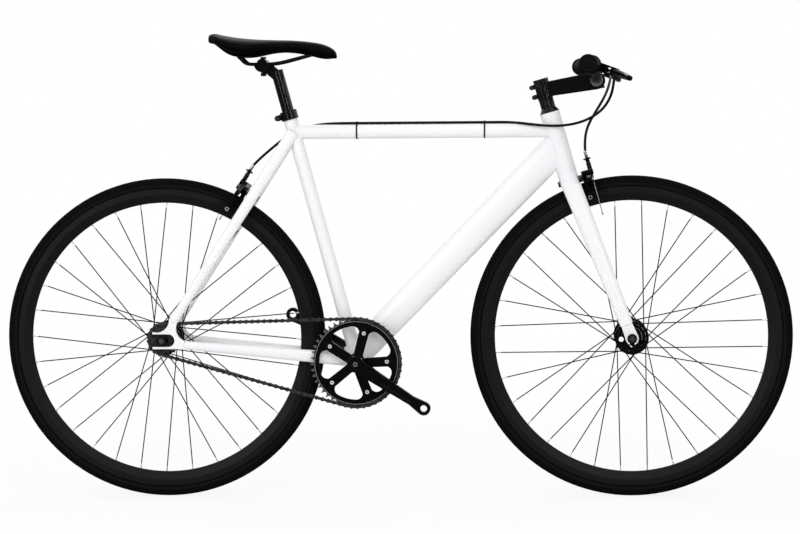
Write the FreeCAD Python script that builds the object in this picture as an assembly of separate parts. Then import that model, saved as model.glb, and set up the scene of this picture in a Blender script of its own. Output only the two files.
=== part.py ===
import FreeCAD, Part
import math
import os

# A fixed gear bicycle. Lengths are in millimetres and angles in degrees.
# X points forward, Y to the rider's left and Z up.
# The origin is on the ground, midway between the axles.

# Wheels
rim_radius = 316.5
tyre_height = 21.5
tyre_radius = rim_radius + tyre_height
wheel_gap = 238.4
wheelbase = 2.2 * tyre_radius + wheel_gap
tyre_width = 28.0
tyre_wall = 4.2
tyre_bead_width = 2.5
tube_wall = 0.9
tube_gap = 0.3
rim_width = 19.5
rim_depth = 30.5
rim_flange_height = 7.5
rim_track_height = 13.5
rim_wall = 1.5
rim_nose_width = 9.0
bead_gap = 0.3
spoke_count = 32
spoke_crosses = 3
spoke_radius = 1.15
spoke_head_radius = 2.1
spoke_head_length = 1.2
spoke_layer_gap = 4.0
nipple_radius = 2.0
nipple_reach = 1.5
nipple_inside = 4.0
hole_gap = 0.15

# Hubs and axles
flange_thickness = 3.6
hub_body_radius = 16.0
hub_bearing_radius = 13.0
hub_bearing_width = 8.0
flange_window_radius = 5.5
flange_window_count = 5
flange_window_phase = 188.0
flange_window_twist = 20.0
flange_window_inset = 13.5
spoke_hole_inset = 5.5
running_gap = 0.05
cone_radius = 8.0
nut_across_flats = 15.0
nut_thickness = 8.0
washer_radius = 10.2
washer_thickness = 2.0
axle_stub = 5.0
front_flange_radius = 35.5
front_flange_offset = 35.0
front_hub_end = 42.0
front_axle_radius = 4.5
front_hub_spacing = 100.0
front_spoke_phase = 18.05
rear_flange_radius = 33.5
rear_flange_offset = 31.0
rear_hub_end = 47.0
rear_axle_radius = 5.0
rear_hub_spacing = 120.0
rear_spoke_phase = 10.4

# Drive
chain_pitch = 12.7
ring_teeth = 46
sprocket_teeth = 16
chainstay_clearance = 70.0
chain_turns = (ring_teeth + sprocket_teeth) / 4
chain_links = 2 * round((tyre_radius + chainstay_clearance) / chain_pitch + chain_turns)
chain_line = 42.0
tooth_thickness = 2.9
tooth_height = 3.4
tooth_flank_angle = 25.0
roller_radius = 3.85
roller_gap = 0.12
roller_width = 3.4
plate_thickness = 1.1
plate_radius = 4.1
plate_waist = 5.4
plate_gap = 0.15
pin_radius = 1.8
bush_radius = 1.95
pin_overhang = 0.3
bottom_bracket_drop = 50.6
ring_bolt_circle = 130.0
ring_inner_radius = 54.0
ring_window_radius = 77.5
ring_window_corner = 13.5
spider_arm_count = 5
spider_arm_width = 19.0
spider_thickness = 5.0
spider_tip_radius = 10.5
ring_bolt_radius = 4.0
ring_bolt_head_radius = 6.0
ring_bolt_head = 1.6
sprocket_bore = 17.35
lockring_radius = 21.0
lockring_width = 3.4
crank_length = 170.0
crank_angle = 33.2
crank_eye_y = 67.0
crank_thickness = 12.5
crank_boss_radius = 17.0
crank_arm_root = 15.0
crank_neck_share = 0.82
crank_neck_radius = 9.8
crank_eye_radius = 14.2
crank_groove_start = 0.42
crank_groove_end = 0.78
crank_groove_radius = 4.5
crank_groove_depth = 1.2
crank_boss_inner = 46.0
pedal_thread_radius = 7.14
spindle_radius = 8.5
spindle_shoulder = 2.0
spindle_square = 12.7
spindle_square_gap = 0.02
crank_bolt_radius = 6.5
crank_bolt_length = 3.0

# Frame
shell_radius = 20.0
shell_width = 68.0
shell_bore = 17.0
cup_bore = 15.0
cup_lip = 2.5
cup_lip_radius = 19.5
bottom_bearing_width = 9.0
seat_angle = 75.0
seat_tube_above = 45.72
seat_tube_radius = 14.3
tube_thickness = 1.5
top_tube_clearance = 95.6
top_tube_height = 2 * tyre_radius + top_tube_clearance
top_tube_radius = 14.75
head_angle = 74.25
head_tube_length = 131.0
head_tube_radius = 20.5
head_tube_bore = 17.5
fork_rake = 35.0
crown_clearance = 30.0
axle_to_crown = tyre_radius + crown_clearance
headset_bearing_height = 9.0
down_tube_depth_low = 58.5
down_tube_depth_high = 64.4
down_tube_width = 35.0
down_tube_rise = 10.0
down_tube_head_height = 59.0
chainstay_depth_front = 29.0
chainstay_depth_rear = 17.5
chainstay_root_rise = 3.0
chainstay_width = 15.0
chainstay_root_y = 21.0
chainstay_bend_y = 28.0
chainstay_bend_length = 92.0
chainstay_end_back = 47.0
chainstay_end_height = -10.0
seatstay_depth_top = 26.0
seatstay_depth_low = 19.0
seatstay_width = 14.0
seatstay_top_y = 13.0
dropout_thickness = 8.0
dropout_slot_height = 26.6
dropout_slot_ahead = 12.6
dropout_tip_behind = 20.5
dropout_jaw = 4.6
dropout_throat_ahead = 3.5
dropout_throat_rise = 5.4
dropout_stay_ahead = 23.0
dropout_stay_rise = 40.0
insert_slot_gap = 0.2
insert_slot_ahead = 8.0
bridge_clearance = 15.642
bridge_radius = 7.0
collar_radius = 18.0
collar_height = 19.0
collar_ear_reach = 25.0
collar_ear_radius = 6.0
collar_ear_half = 11.0
collar_slit = 1.2
collar_bolt_radius = 2.5
collar_bolt_head_radius = 4.5
collar_bolt_head = 3.0
fit_gap = 0.05

# Fork
crown_height = 27.0
crown_half_width = 41.5
crown_half_depth = 20.0
crown_flat_width = 31.0
crown_flat_depth = 18.5
crown_shoulder = 22.0
steerer_radius = 12.7
steerer_bore = 10.7
blade_top_drop = 14.0
blade_top_y = 30.5
blade_top_depth = 40.0
blade_top_width = 21.0
blade_end_rise = 32.0
blade_end_depth = 27.0
blade_end_width = 15.0
blade_solid_end = 24.0
fork_tang_radius = 11.5
fork_end_thickness = 6.0
fork_end_radius = 13.6
fork_slot_gap = 0.2

# Cockpit
cover_height = 9.0
cover_radius = 21.2
spacer_radius = 15.3
spacer_heights = [10.0, 5.0, 5.0]
stem_clamp_height = 40.0
stem_clamp_radius = 16.0
stem_length = 112.0
stem_slope = 9.4
stem_root_radius = 15.5
stem_front_radius = 18.5
stem_width = 28.0
stem_ear_reach = 22.5
stem_ear_radius = 5.0
stem_ear_half = 13.0
stem_bolt_radius = 2.5
stem_bolt_head_radius = 4.2
stem_bolt_head = 3.0
stem_bolt_spread = 21.0
faceplate_gap = 2.0
faceplate_bolt_y = 9.0
faceplate_bolt_z = 15.2
faceplate_bolt_length = 15.0
top_cap_height = 3.0
bar_radius = 11.1
bar_clamp_radius = 12.7
bar_wall = 2.0
bar_clamp_half = 26.0
bar_taper_end = 40.0
bar_rise = 32.0
bar_sweep = 25.4
bar_half_width = 300.0
bar_bend_start = 45.0
bar_bend_end = 110.0
bar_bend_sweep = 8.0
grip_length = 128.0
grip_radius = 16.0
grip_flange_radius = 18.8
grip_flange_length = 5.0
grip_cap = 3.0
bracket_y = 152.0
bracket_radius = 15.5
bracket_width = 14.0
bracket_tilt = 20.0
bracket_thickness = 18.0
bracket_body_radius = 9.0
lever_pivot_reach = 46.0
lever_pivot_out = 8.0
lever_thickness = 10.0
lever_slot_gap = 0.4
lever_pin_radius = 2.5
lever_bend_reach = 27.0
lever_bend_out = 30.0
lever_tip_reach = 36.0
lever_tip_out = 98.0
lever_root_radius = 8.5
lever_mid_radius = 6.5
lever_tip_radius = 7.5
lever_adjuster_radius = 4.6
lever_adjuster_length = 14.0

# Brakes
front_brake_offset = 41.0
rear_brake_offset = 31.0
front_brake_drop = 20.0
brake_bolt_radius = 3.0
brake_bolt_gap = 0.05
brake_seat_depth = 1.5
brake_spacer_radius = 7.5
brake_nut_radius = 6.0
brake_nut_length = 6.0
arm_thickness = 8.5
arm_gap = 0.3
arm_boss_radius = 9.0
arm_knee_radius = 6.5
arm_foot_radius = 6.0
arm_knee_out = 2.0
arm_knee_drop = 9.0
cable_side = 29.0
stop_rise = 9.0
anchor_rise = -7.0
arm_tip_radius = 6.0
adjuster_radius = 4.0
adjuster_collar_radius = 8.0
adjuster_collar_height = 3.0
adjuster_length = 31.0
wire_radius = 0.8
wire_tail = 40.0
wire_room = 1.6
wire_ahead = 2.5
pad_gap = 1.7
pad_thickness = 7.0
pad_height = 7.0
pad_drop = 10.5
pad_length = 50.0
pad_shoe_thickness = 3.0
pad_bolt_radius = 3.0
pad_bolt_head = 5.0
pad_bolt_head_radius = 4.6

# Cables
cable_radius = 2.5
cable_end_gap = 0.3
cable_lift = 0.3
tie_thickness = 1.2
tie_width = 3.0
tie_tail = 30.0
tie_places = [402.65, 134.65]
cable_split = 110.0
cable_lead = 26.0

# Points that the cables pass: how far ahead, to the left and up from the middle of the bar clamp.
front_cable_points = [
    (32.0, 72.0, 2.0),
    (25.0, 40.0, -21.0),
    (11.0, 8.0, -46.0),
    (-8.0, -14.0, -74.0),
    (-24.0, -25.0, -104.0),
]
rear_loop_points = [
    (34.0, -80.0, 3.0),
    (32.0, -60.0, -24.0),
    (19.0, -49.0, -53.0),
    (-6.0, -41.0, -75.0),
    (-40.0, -34.0, -89.0),
    (-77.0, -29.0, -94.0),
    (-114.0, -22.0, -92.7),
    (-150.0, -11.0, -87.7),
]
# The same from the seat cluster, for the cable along the top tube.
rear_run_points = [
    (112.0, 0.0, 17.6),
    (86.0, 3.5, 17.4),
    (55.0, 11.0, 15.6),
    (22.0, 21.0, 9.0),
    (-11.0, 28.5, -5.0),
    (-40.0, 31.0, -26.0),
]

# Saddle
post_radius = 12.7
post_wall = 2.0
post_insert = 140.0
post_top_height = 88.0
post_gap = 0.06
saddle_setback = 28.0
saddle_rise = 142.4
saddle_rail_height = top_tube_height + saddle_rise
rail_radius = 3.5
clamp_low_radius = 17.0
clamp_high_radius = 11.5
clamp_neck_radius = 10.5
clamp_nut_height = 4.0
clamp_head_height = 8.0
clamp_half_width = 29.0
clamp_bolt_radius = 3.0
shell_thickness = 3.0
shell_inset = 7.0
cover_lift = 0.3
cover_base_share = 0.80
cover_edge_share = 0.72
cover_edge_rise = 0.84
cover_side_rise = 0.48

# Points of a saddle rail: ahead of the clamp, out from the middle and above the clamp.
rail_points = [
    (-50.0, 31.0, 17.0),
    (-34.0, 24.5, 0.5),
    (-18.0, 22.0, 0.0),
    (28.0, 22.0, 0.0),
    (72.0, 17.0, 11.0),
    (106.0, 9.0, 20.0),
]

# Each saddle station is the distance ahead of the tail, then the heights of the crown and of the
# skirt above the rails, and half of the width.
saddle_stations = [
    (1.0, 57.0, 49.0, 26.0),
    (10.0, 64.0, 46.5, 48.0),
    (28.0, 61.0, 34.0, 64.0),
    (50.0, 57.0, 21.0, 70.0),
    (78.0, 53.5, 17.0, 66.0),
    (105.0, 51.5, 20.0, 52.0),
    (140.0, 50.2, 26.0, 35.0),
    (178.0, 49.0, 25.5, 26.0),
    (215.0, 45.2, 18.5, 21.5),
    (240.0, 40.0, 13.0, 19.0),
    (257.0, 30.0, 13.5, 14.0),
    (265.0, 22.0, 15.0, 7.0),
]
saddle_tail_back = 139.75


def vec(x, y, z):
    """A point or a direction."""
    return FreeCAD.Vector(x, y, z)


def turn(angle, radius=1.0):
    """The point at an angle and radius in the side plane, counted from +X towards +Z."""
    return vec(radius * math.cos(math.radians(angle)), 0, radius * math.sin(math.radians(angle)))


LEFT = vec(0, 1, 0)
UP = vec(0, 0, 1)
ORIGIN = vec(0, 0, 0)


def rod(start, end, radius):
    """A round rod between two points."""
    return Part.makeCylinder(radius, (end - start).Length, start, end - start)


def cone(start, end, start_radius, end_radius):
    """A round taper between two points."""
    return Part.makeCone(start_radius, end_radius, (end - start).Length, start, end - start)


def cross_rod(centre, y_from, y_to, radius):
    """A rod along Y through a point of the side plane."""
    return rod(vec(centre.x, y_from, centre.z), vec(centre.x, y_to, centre.z), radius)


def ring(centre, y_from, y_to, outer, inner):
    """A ring about an axis along Y."""
    return cross_rod(centre, y_from, y_to, outer).cut(cross_rod(centre, y_from, y_to, inner))


def fused(shapes):
    """One solid from shapes that meet."""
    first = shapes[0]
    return first.multiFuse(shapes[1:]).removeSplitter()


def placed(shape, origin, x_axis, y_axis):
    """Move a shape from its own axes to the given origin and axes."""
    z_axis = x_axis.cross(y_axis)
    rows = FreeCAD.Matrix(
        x_axis.x, y_axis.x, z_axis.x, origin.x,
        x_axis.y, y_axis.y, z_axis.y, origin.y,
        x_axis.z, y_axis.z, z_axis.z, origin.z,
        0, 0, 0, 1)
    moved = shape.copy()
    moved.Placement = FreeCAD.Placement(rows).multiply(shape.Placement)
    return moved


def mirrored(shape):
    """The same piece on the other side of the bike."""
    return shape.mirror(ORIGIN, LEFT)


def closed_wire(start, *steps):
    """Each step is an end point, or a (middle, end) pair for an arc."""
    edges = []
    here = start
    for step in steps:
        if isinstance(step, tuple):
            middle, end = step
            edges.append(Part.Arc(here, middle, end).toShape())
        else:
            end = step
            edges.append(Part.makeLine(here, end))
        here = end
    if not here.isEqual(start, 1e-6):
        edges.append(Part.makeLine(here, start))
    return Part.Wire(edges)


def slab(wire, y_from, y_to):
    """Extrude an outline of the side plane between two values of Y."""
    face = Part.Face(wire)
    face.translate(vec(0, y_from, 0))
    return face.extrude(vec(0, y_to - y_from, 0))


def link(a, a_radius, b, b_radius, y_from, y_to):
    """A flat link in the side plane: two round ends joined by their tangents."""
    along = vec(b.x - a.x, 0, b.z - a.z)
    lean = (a_radius - b_radius) / along.Length
    along.normalize()
    across = vec(-along.z, 0, along.x)
    upright = math.sqrt(1 - lean * lean)
    above = along * lean + across * upright
    below = along * lean - across * upright
    wire = closed_wire(
        a + above * a_radius,
        b + above * b_radius,
        (b + along * b_radius, b + below * b_radius),
        a + below * a_radius,
        (a - along * a_radius, a + above * a_radius))
    return slab(wire, y_from, y_to)


def turned(wire, axle):
    """Turn an outline of (radius, y) points about a wheel's axis."""
    solid = Part.Face(wire).revolve(ORIGIN, LEFT, 360)
    solid.translate(axle)
    return solid


def oval(centre, long_axis, short_axis):
    """An ellipse whose half axes are given as directions with a length."""
    return Part.Wire([Part.Ellipse(centre + long_axis, centre + short_axis, centre).toShape()])


def oval_tube(sections, wall):
    """A tube through (centre, depth direction, depth, width) sections, with its bore apart."""
    outer = []
    inner = []
    for centre, direction, depth, width in sections:
        outer.append(oval(centre, direction * (depth / 2), LEFT * (width / 2)))
        inner.append(oval(centre, direction * (depth / 2 - wall), LEFT * (width / 2 - wall)))
    return Part.makeLoft(outer, True, False), Part.makeLoft(inner, True, False)


def hexagon(centre, y_from, y_to, flats):
    """A six sided bar along Y, by the distance across its flats."""
    corner = flats / math.sqrt(3)
    points = [centre + turn(60 * i, corner) for i in range(6)]
    return slab(closed_wire(*points), y_from, y_to)


def cord(points, radius):
    """A round cord along straight runs joined by the largest tangent arcs that they take."""
    edges = []
    here = points[0]
    for before, corner, after in zip(points, points[1:], points[2:]):
        into = corner - before
        out = after - corner
        cut = 0.45 * min(into.Length, out.Length)
        angle = into.getAngle(out)
        bend = cut / math.tan(angle / 2)
        into.normalize()
        out.normalize()
        start = corner - into * cut
        end = corner + out * cut
        inward = out - into
        inward.normalize()
        sagitta = bend / math.cos(angle / 2) - bend
        edges.append(Part.makeLine(here, start))
        edges.append(Part.Arc(start, corner + inward * sagitta, end).toShape())
        here = end
    edges.append(Part.makeLine(here, points[-1]))
    path = Part.Wire(edges)
    section = Part.Wire([Part.makeCircle(radius, points[0], points[1] - points[0])])
    return path.makePipeShell([section], True, False)


def export(node, *shapes):
    """Write the solids of one node."""
    solids = []
    for shape in shapes:
        solids.extend(shape.Solids)
    for solid in solids:
        if not solid.isValid():
            print("not valid:", node)
    Part.makeCompound(solids).exportStep("parts/%s.step" % node)


# Places worked out from the driving dimensions
rear_axle = vec(-wheelbase / 2, 0, tyre_radius)
front_axle = vec(wheelbase / 2, 0, tyre_radius)
ring_pitch_radius = chain_pitch / (2 * math.sin(math.pi / ring_teeth))
sprocket_pitch_radius = chain_pitch / (2 * math.sin(math.pi / sprocket_teeth))
radius_step = ring_pitch_radius - sprocket_pitch_radius


def chain_length(distance):
    """Links in the chain when the crank and the rear axle are this far apart."""
    lean = math.asin(radius_step / distance)
    runs = 2 * distance * math.cos(lean) / chain_pitch
    wraps = ring_teeth * (0.5 + lean / math.pi) + sprocket_teeth * (0.5 - lean / math.pi)
    return runs + wraps


def closing_distance():
    """The distance at which the chain has a whole number of links and no slack."""
    low = radius_step + chain_pitch
    high = chain_links * chain_pitch
    while high - low > 1e-9:
        middle = (low + high) / 2
        if chain_length(middle) < chain_links:
            low = middle
        else:
            high = middle
    return low


crank_distance = closing_distance()
crank_ahead = math.sqrt(crank_distance ** 2 - bottom_bracket_drop ** 2)
bottom_bracket = rear_axle + vec(crank_ahead, 0, -bottom_bracket_drop)

seat_up = turn(180 - seat_angle)
seat_back = turn(270 - seat_angle)
cluster = bottom_bracket + seat_up * ((top_tube_height - bottom_bracket.z) / seat_up.z)
seat_top = cluster + seat_up * seat_tube_above

head_down = turn(-head_angle)
head_ahead = turn(90 - head_angle)
head_base = front_axle - head_down * axle_to_crown - head_ahead * fork_rake
head_top = head_base - head_down * head_tube_length
top_tube_front = head_base - head_down * ((top_tube_height - head_base.z) / -head_down.z)

dropout_inner = rear_hub_spacing / 2
dropout_middle = dropout_inner + dropout_thickness / 2
seatstay_foot = rear_axle + vec(dropout_stay_ahead, 0, dropout_stay_rise)
chainstay_foot = rear_axle + vec(chainstay_end_back, 0, chainstay_end_height)
stay_down = seatstay_foot - cluster
stay_length = stay_down.Length
stay_down.normalize()
stay_back = vec(stay_down.z, 0, -stay_down.x)
foot_lift = stay_down.dot(seatstay_foot - rear_axle)
foot_offset = (seatstay_foot - rear_axle).Length
bridge_radius_out = tyre_radius + bridge_clearance
bridge_rise = foot_lift + math.sqrt(foot_lift ** 2 - foot_offset ** 2 + bridge_radius_out ** 2)
bridge_distance = stay_length - bridge_rise

post_top = seat_top + seat_up * post_top_height

stem_base = head_top - head_down * (cover_height + sum(spacer_heights))
stem_top = stem_base - head_down * stem_clamp_height
stem_middle = (stem_base + stem_top) * 0.5
stem_ahead = turn(stem_slope)
bar_centre = stem_middle + stem_ahead * stem_length


def wheel(side, axle, radius, offset, hub_end, axle_radius, phase):
    """Tyre, tube, rim, spokes and hub of one wheel."""
    centre = tyre_radius - tyre_width / 2
    outer = tyre_width / 2
    inner = outer - tyre_wall
    shoulder = outer * math.sin(math.radians(60))
    seat = centre - outer / 2
    bead_outside = rim_width / 2 - rim_wall - bead_gap
    bead_inside = bead_outside - tyre_bead_width
    bead_foot = rim_radius - rim_flange_height + bead_gap
    bead_neck = math.sqrt(inner ** 2 - (centre - seat) ** 2)
    casing = turned(closed_wire(
        vec(seat, shoulder, 0),
        (vec(tyre_radius, 0, 0), vec(seat, -shoulder, 0)),
        vec(seat, -bead_neck, 0),
        (vec(centre + inner, 0, 0), vec(seat, bead_neck, 0))), axle)
    bead = turned(closed_wire(
        vec(seat, bead_outside, 0),
        vec(bead_foot, bead_outside, 0),
        vec(bead_foot, bead_inside, 0),
        vec(seat, bead_neck, 0)), axle)
    export(side + "_tyre", casing, bead, mirrored(bead))

    tube_radius = inner - tube_gap
    tube = Part.makeTorus(centre, tube_radius, axle, LEFT)
    export(side + "_inner_tube", tube.cut(Part.makeTorus(centre, tube_radius - tube_wall, axle, LEFT)))

    half = rim_width / 2
    nose = rim_nose_width / 2
    bed = rim_radius - rim_flange_height
    track_foot = rim_radius - rim_track_height
    rim_inner = rim_radius - rim_depth
    nose_start = rim_inner + 2 * rim_wall
    outside = closed_wire(
        vec(rim_radius, half, 0),
        vec(track_foot, half, 0),
        vec(nose_start, nose, 0),
        (vec(rim_inner, 0, 0), vec(nose_start, -nose, 0)),
        vec(track_foot, -half, 0),
        vec(rim_radius, -half, 0),
        vec(rim_radius, rim_wall - half, 0),
        vec(bed, rim_wall - half, 0),
        vec(bed, half - rim_wall, 0),
        vec(rim_radius, half - rim_wall, 0))
    cavity = closed_wire(
        vec(bed - rim_wall, half - rim_wall, 0),
        vec(track_foot, half - rim_wall, 0),
        vec(nose_start + rim_wall, nose - rim_wall, 0),
        vec(nose_start + rim_wall, rim_wall - nose, 0),
        vec(track_foot, rim_wall - half, 0),
        vec(bed - rim_wall, rim_wall - half, 0))
    rim = turned(outside, axle).cut(turned(cavity, axle))

    hole_circle = radius - spoke_hole_inset
    half_flange = flange_thickness / 2
    step = 360 / spoke_count
    hub_step = 2 * step
    spokes = []
    nipples = []
    rim_holes = []
    flange_holes = []
    for i in range(spoke_count):
        hand = 1 if i % 2 == 0 else -1
        leading = (i // 2) % 2 == 0
        rim_angle = phase - step * i
        hub_angle = rim_angle + (hub_step if leading else -hub_step) * spoke_crosses
        layer = half_flange + spoke_radius + hole_gap + (spoke_layer_gap if leading else 0)
        flange_y = hand * offset
        hole = axle + turn(hub_angle, hole_circle)
        elbow = hole + LEFT * (flange_y - hand * layer)
        mouth = axle + turn(rim_angle, rim_inner)
        ahead = mouth - elbow
        ahead.normalize()
        nipple_foot = mouth - ahead * nipple_reach
        face = flange_y + hand * half_flange
        head = cross_rod(hole, face, face + hand * spoke_head_length, spoke_head_radius)
        neck = cross_rod(hole, elbow.y, face, spoke_radius)
        corner = Part.makeSphere(spoke_radius, elbow)
        spokes.append(rod(elbow, nipple_foot, spoke_radius).multiFuse([head, neck, corner]))
        nipples.append(rod(nipple_foot, mouth + ahead * nipple_inside, nipple_radius))
        rim_holes.append(rod(mouth - ahead * rim_wall * 2, mouth + ahead * nipple_inside,
                             nipple_radius + hole_gap))
        flange_holes.append(cross_rod(hole, flange_y - 2 * half_flange, flange_y + 2 * half_flange,
                                      spoke_radius + hole_gap))
    export(side + "_rim", rim.cut(Part.makeCompound(rim_holes)))
    export(side + "_spokes", *(spokes + nipples))

    body = cross_rod(axle, -hub_end, hub_end, hub_body_radius)
    windows = []
    for hand in (-1, 1):
        low = hand * offset - half_flange
        body = body.fuse(cross_rod(axle, low, low + flange_thickness, radius))
        for i in range(flange_window_count):
            angle = flange_window_phase + 360 / flange_window_count * i
            if hand > 0:
                angle += flange_window_twist
            place = axle + turn(angle, radius - flange_window_inset)
            windows.append(cross_rod(place, low, low + flange_thickness, flange_window_radius))
    bore = [cross_rod(axle, -hub_end, hub_end, axle_radius + hub_bearing_radius / 4)]
    bearings = []
    for hand in (-1, 1):
        inside = hand * (hub_end - hub_bearing_width)
        bore.append(cross_rod(axle, inside, hand * hub_end, hub_bearing_radius))
        bearings.append(ring(axle, inside, hand * hub_end, hub_bearing_radius, axle_radius + running_gap))
    hub = body.cut(Part.makeCompound(flange_holes)).cut(Part.makeCompound(windows))
    for hole in bore:
        hub = hub.cut(hole)
    export(side + "_hub", hub, *bearings)


def axle_set(node, axle, radius, spacing, plate, hub_end):
    """Axle with the cones inside the dropouts, and washers and nuts outside them."""
    face = spacing / 2
    outside = face + plate
    tip = outside + washer_thickness + nut_thickness + axle_stub
    pieces = [cross_rod(axle, -tip, tip, radius)]
    for hand in (-1, 1):
        pieces.append(ring(axle, hand * (hub_end + running_gap), hand * face, cone_radius, radius))
        washer_end = outside + washer_thickness
        pieces.append(ring(axle, hand * outside, hand * washer_end, washer_radius, radius))
        nut = hexagon(axle, hand * washer_end, hand * (washer_end + nut_thickness), nut_across_flats)
        pieces.append(nut.cut(cross_rod(axle, -tip, tip, radius)))
    export(node, *pieces)


def toothed_wire(centre, teeth, pitch_radius, first_angle):
    """Outline of a chain wheel whose tooth gaps seat the rollers."""
    seat = roller_radius + roller_gap
    tip = pitch_radius + tooth_height
    lean = math.radians(tooth_flank_angle)
    points = []
    for i in range(teeth):
        angle = first_angle - 360 / teeth * i
        outward = turn(angle)
        along = turn(angle - 90)
        roller = centre + outward * pitch_radius
        gap = []
        for hand in (-1, 1):
            touch = roller + along * (hand * seat * math.cos(lean)) - outward * (seat * math.sin(lean))
            flank = outward * math.cos(lean) + along * (hand * math.sin(lean))
            offset = touch - centre
            reach = -offset.dot(flank) + math.sqrt(offset.dot(flank) ** 2 - offset.dot(offset) + tip ** 2)
            gap.append((touch, touch + flank * reach))
        points.append((gap[0], roller - outward * seat, gap[1]))
    steps = []
    for i, (near, bottom, far) in enumerate(points):
        steps.extend([near[0], (bottom, far[0]), far[1]])
        following = points[(i + 1) % teeth][0][1]
        steps.append(following)
    return closed_wire(points[0][0][1], *steps)


def drive_path():
    """Roller places along the chain, and the angle of the first roller on each chain wheel."""
    between = bottom_bracket - rear_axle
    heading = math.degrees(math.atan2(between.z, between.x))
    lean = math.degrees(math.asin(radius_step / crank_distance))
    run = crank_distance * math.cos(math.radians(lean)) / chain_pitch
    ring_wrap = ring_teeth * (180 + 2 * lean) / 360
    sprocket_wrap = sprocket_teeth * (180 - 2 * lean) / 360
    top = heading + 90 + lean
    bottom = heading - 90 - lean
    ring_bottom = bottom_bracket + turn(bottom, ring_pitch_radius)
    sprocket_bottom = rear_axle + turn(bottom, sprocket_pitch_radius)
    sprocket_top = rear_axle + turn(top, sprocket_pitch_radius)
    ring_top = bottom_bracket + turn(top, ring_pitch_radius)
    rollers = []
    sprocket_angle = None
    for i in range(chain_links):
        place = float(i)
        if place < ring_wrap:
            rollers.append(bottom_bracket + turn(top - place * 360 / ring_teeth, ring_pitch_radius))
            continue
        place -= ring_wrap
        if place < run:
            rollers.append(ring_bottom + (sprocket_bottom - ring_bottom) * (place / run))
            continue
        place -= run
        if place < sprocket_wrap:
            angle = bottom - place * 360 / sprocket_teeth
            if sprocket_angle is None:
                sprocket_angle = angle
            rollers.append(rear_axle + turn(angle, sprocket_pitch_radius))
            continue
        place -= sprocket_wrap
        rollers.append(sprocket_top + (ring_top - sprocket_top) * (place / run))
    return rollers, top, sprocket_angle


def chain_link(plate_inner, holes, pins):
    """One link about its first roller, along X: two waisted plates and what joins them."""
    plate_outer = plate_inner + plate_thickness
    ends = [ORIGIN, vec(chain_pitch, 0, 0)]
    shapes = []
    for y_from, y_to in ((-plate_outer, -plate_inner), (plate_inner, plate_outer)):
        for end in ends:
            shapes.append(cross_rod(end, y_from, y_to, plate_radius))
        waist = Part.makeBox(chain_pitch, y_to - y_from, plate_waist, vec(0, y_from, -plate_waist / 2))
        shapes.append(waist)
    for end in ends:
        if pins:
            reach = plate_outer + pin_overhang
            shapes.append(cross_rod(end, -reach, reach, pin_radius))
        else:
            shapes.append(cross_rod(end, -plate_inner, plate_inner, roller_radius))
    solid = fused(shapes)
    if holes:
        for end in ends:
            solid = solid.cut(cross_rod(end, -plate_outer, plate_outer, bush_radius))
    return solid


def chain(rollers):
    """Inner and outer links in turn, from roller to roller."""
    inner_half = roller_width / 2
    inner = chain_link(inner_half, True, False)
    outer = chain_link(inner_half + plate_thickness + plate_gap, False, True)
    solids = []
    for i, start in enumerate(rollers):
        end = rollers[(i + 1) % chain_links]
        along = end - start
        along.normalize()
        origin = start - LEFT * chain_line
        solids.append(placed(inner if i % 2 == 0 else outer, origin, along, LEFT))
    export("chain", *solids)


def chain_wheels(ring_angle, sprocket_angle):
    """Chainring with its five windows, and the sprocket with its lockring."""
    far = -chain_line - tooth_thickness / 2
    near = -chain_line + tooth_thickness / 2
    plate = slab(toothed_wire(bottom_bracket, ring_teeth, ring_pitch_radius, ring_angle), far, near)
    plate = plate.cut(cross_rod(bottom_bracket, far, near, ring_inner_radius))
    half_step = 180 / spider_arm_count
    first_arm = -crank_angle + half_step
    inset = spider_arm_width / 2 + ring_window_corner
    corner_reach = ring_window_radius - ring_window_corner
    for i in range(spider_arm_count):
        window_angle = first_arm + half_step + 2 * half_step * i
        spread = half_step - math.degrees(math.asin(inset / corner_reach))
        apex = bottom_bracket + turn(window_angle, inset / math.sin(math.radians(half_step)))
        corners = [bottom_bracket + turn(window_angle + s, corner_reach) for s in (-spread, spread)]
        for corner in corners:
            plate = plate.cut(link(apex, ring_window_corner, corner, ring_window_corner, far, near))
        edge = [bottom_bracket + turn(window_angle + s, ring_window_radius) for s in (-spread, spread)]
        middle = bottom_bracket + turn(window_angle, ring_window_radius)
        plate = plate.cut(slab(closed_wire(apex, edge[0], (middle, edge[1])), far, near))
    bolts = []
    reach = spider_thickness + ring_bolt_head
    for i in range(spider_arm_count):
        place = bottom_bracket + turn(first_arm + 2 * half_step * i, ring_bolt_circle / 2)
        plate = plate.cut(cross_rod(place, far, near, ring_bolt_radius))
        shank = cross_rod(place, near, far - reach, ring_bolt_radius)
        head = cross_rod(place, far - spider_thickness, far - reach, ring_bolt_head_radius)
        back = cross_rod(place, near, near + ring_bolt_head, ring_bolt_head_radius)
        bolts.append(shank.multiFuse([head, back]))
    export("chainring", plate)

    outline = toothed_wire(rear_axle, sprocket_teeth, sprocket_pitch_radius, sprocket_angle)
    sprocket = slab(outline, far, near)
    sprocket = sprocket.cut(cross_rod(rear_axle, far, near, sprocket_bore))
    lockring = ring(rear_axle, far, far - lockring_width, lockring_radius, hub_body_radius)
    carrier = ring(rear_axle, near, far, sprocket_bore, hub_body_radius)
    export("rear_sprocket", sprocket, carrier, lockring)
    return bolts, far


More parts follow.
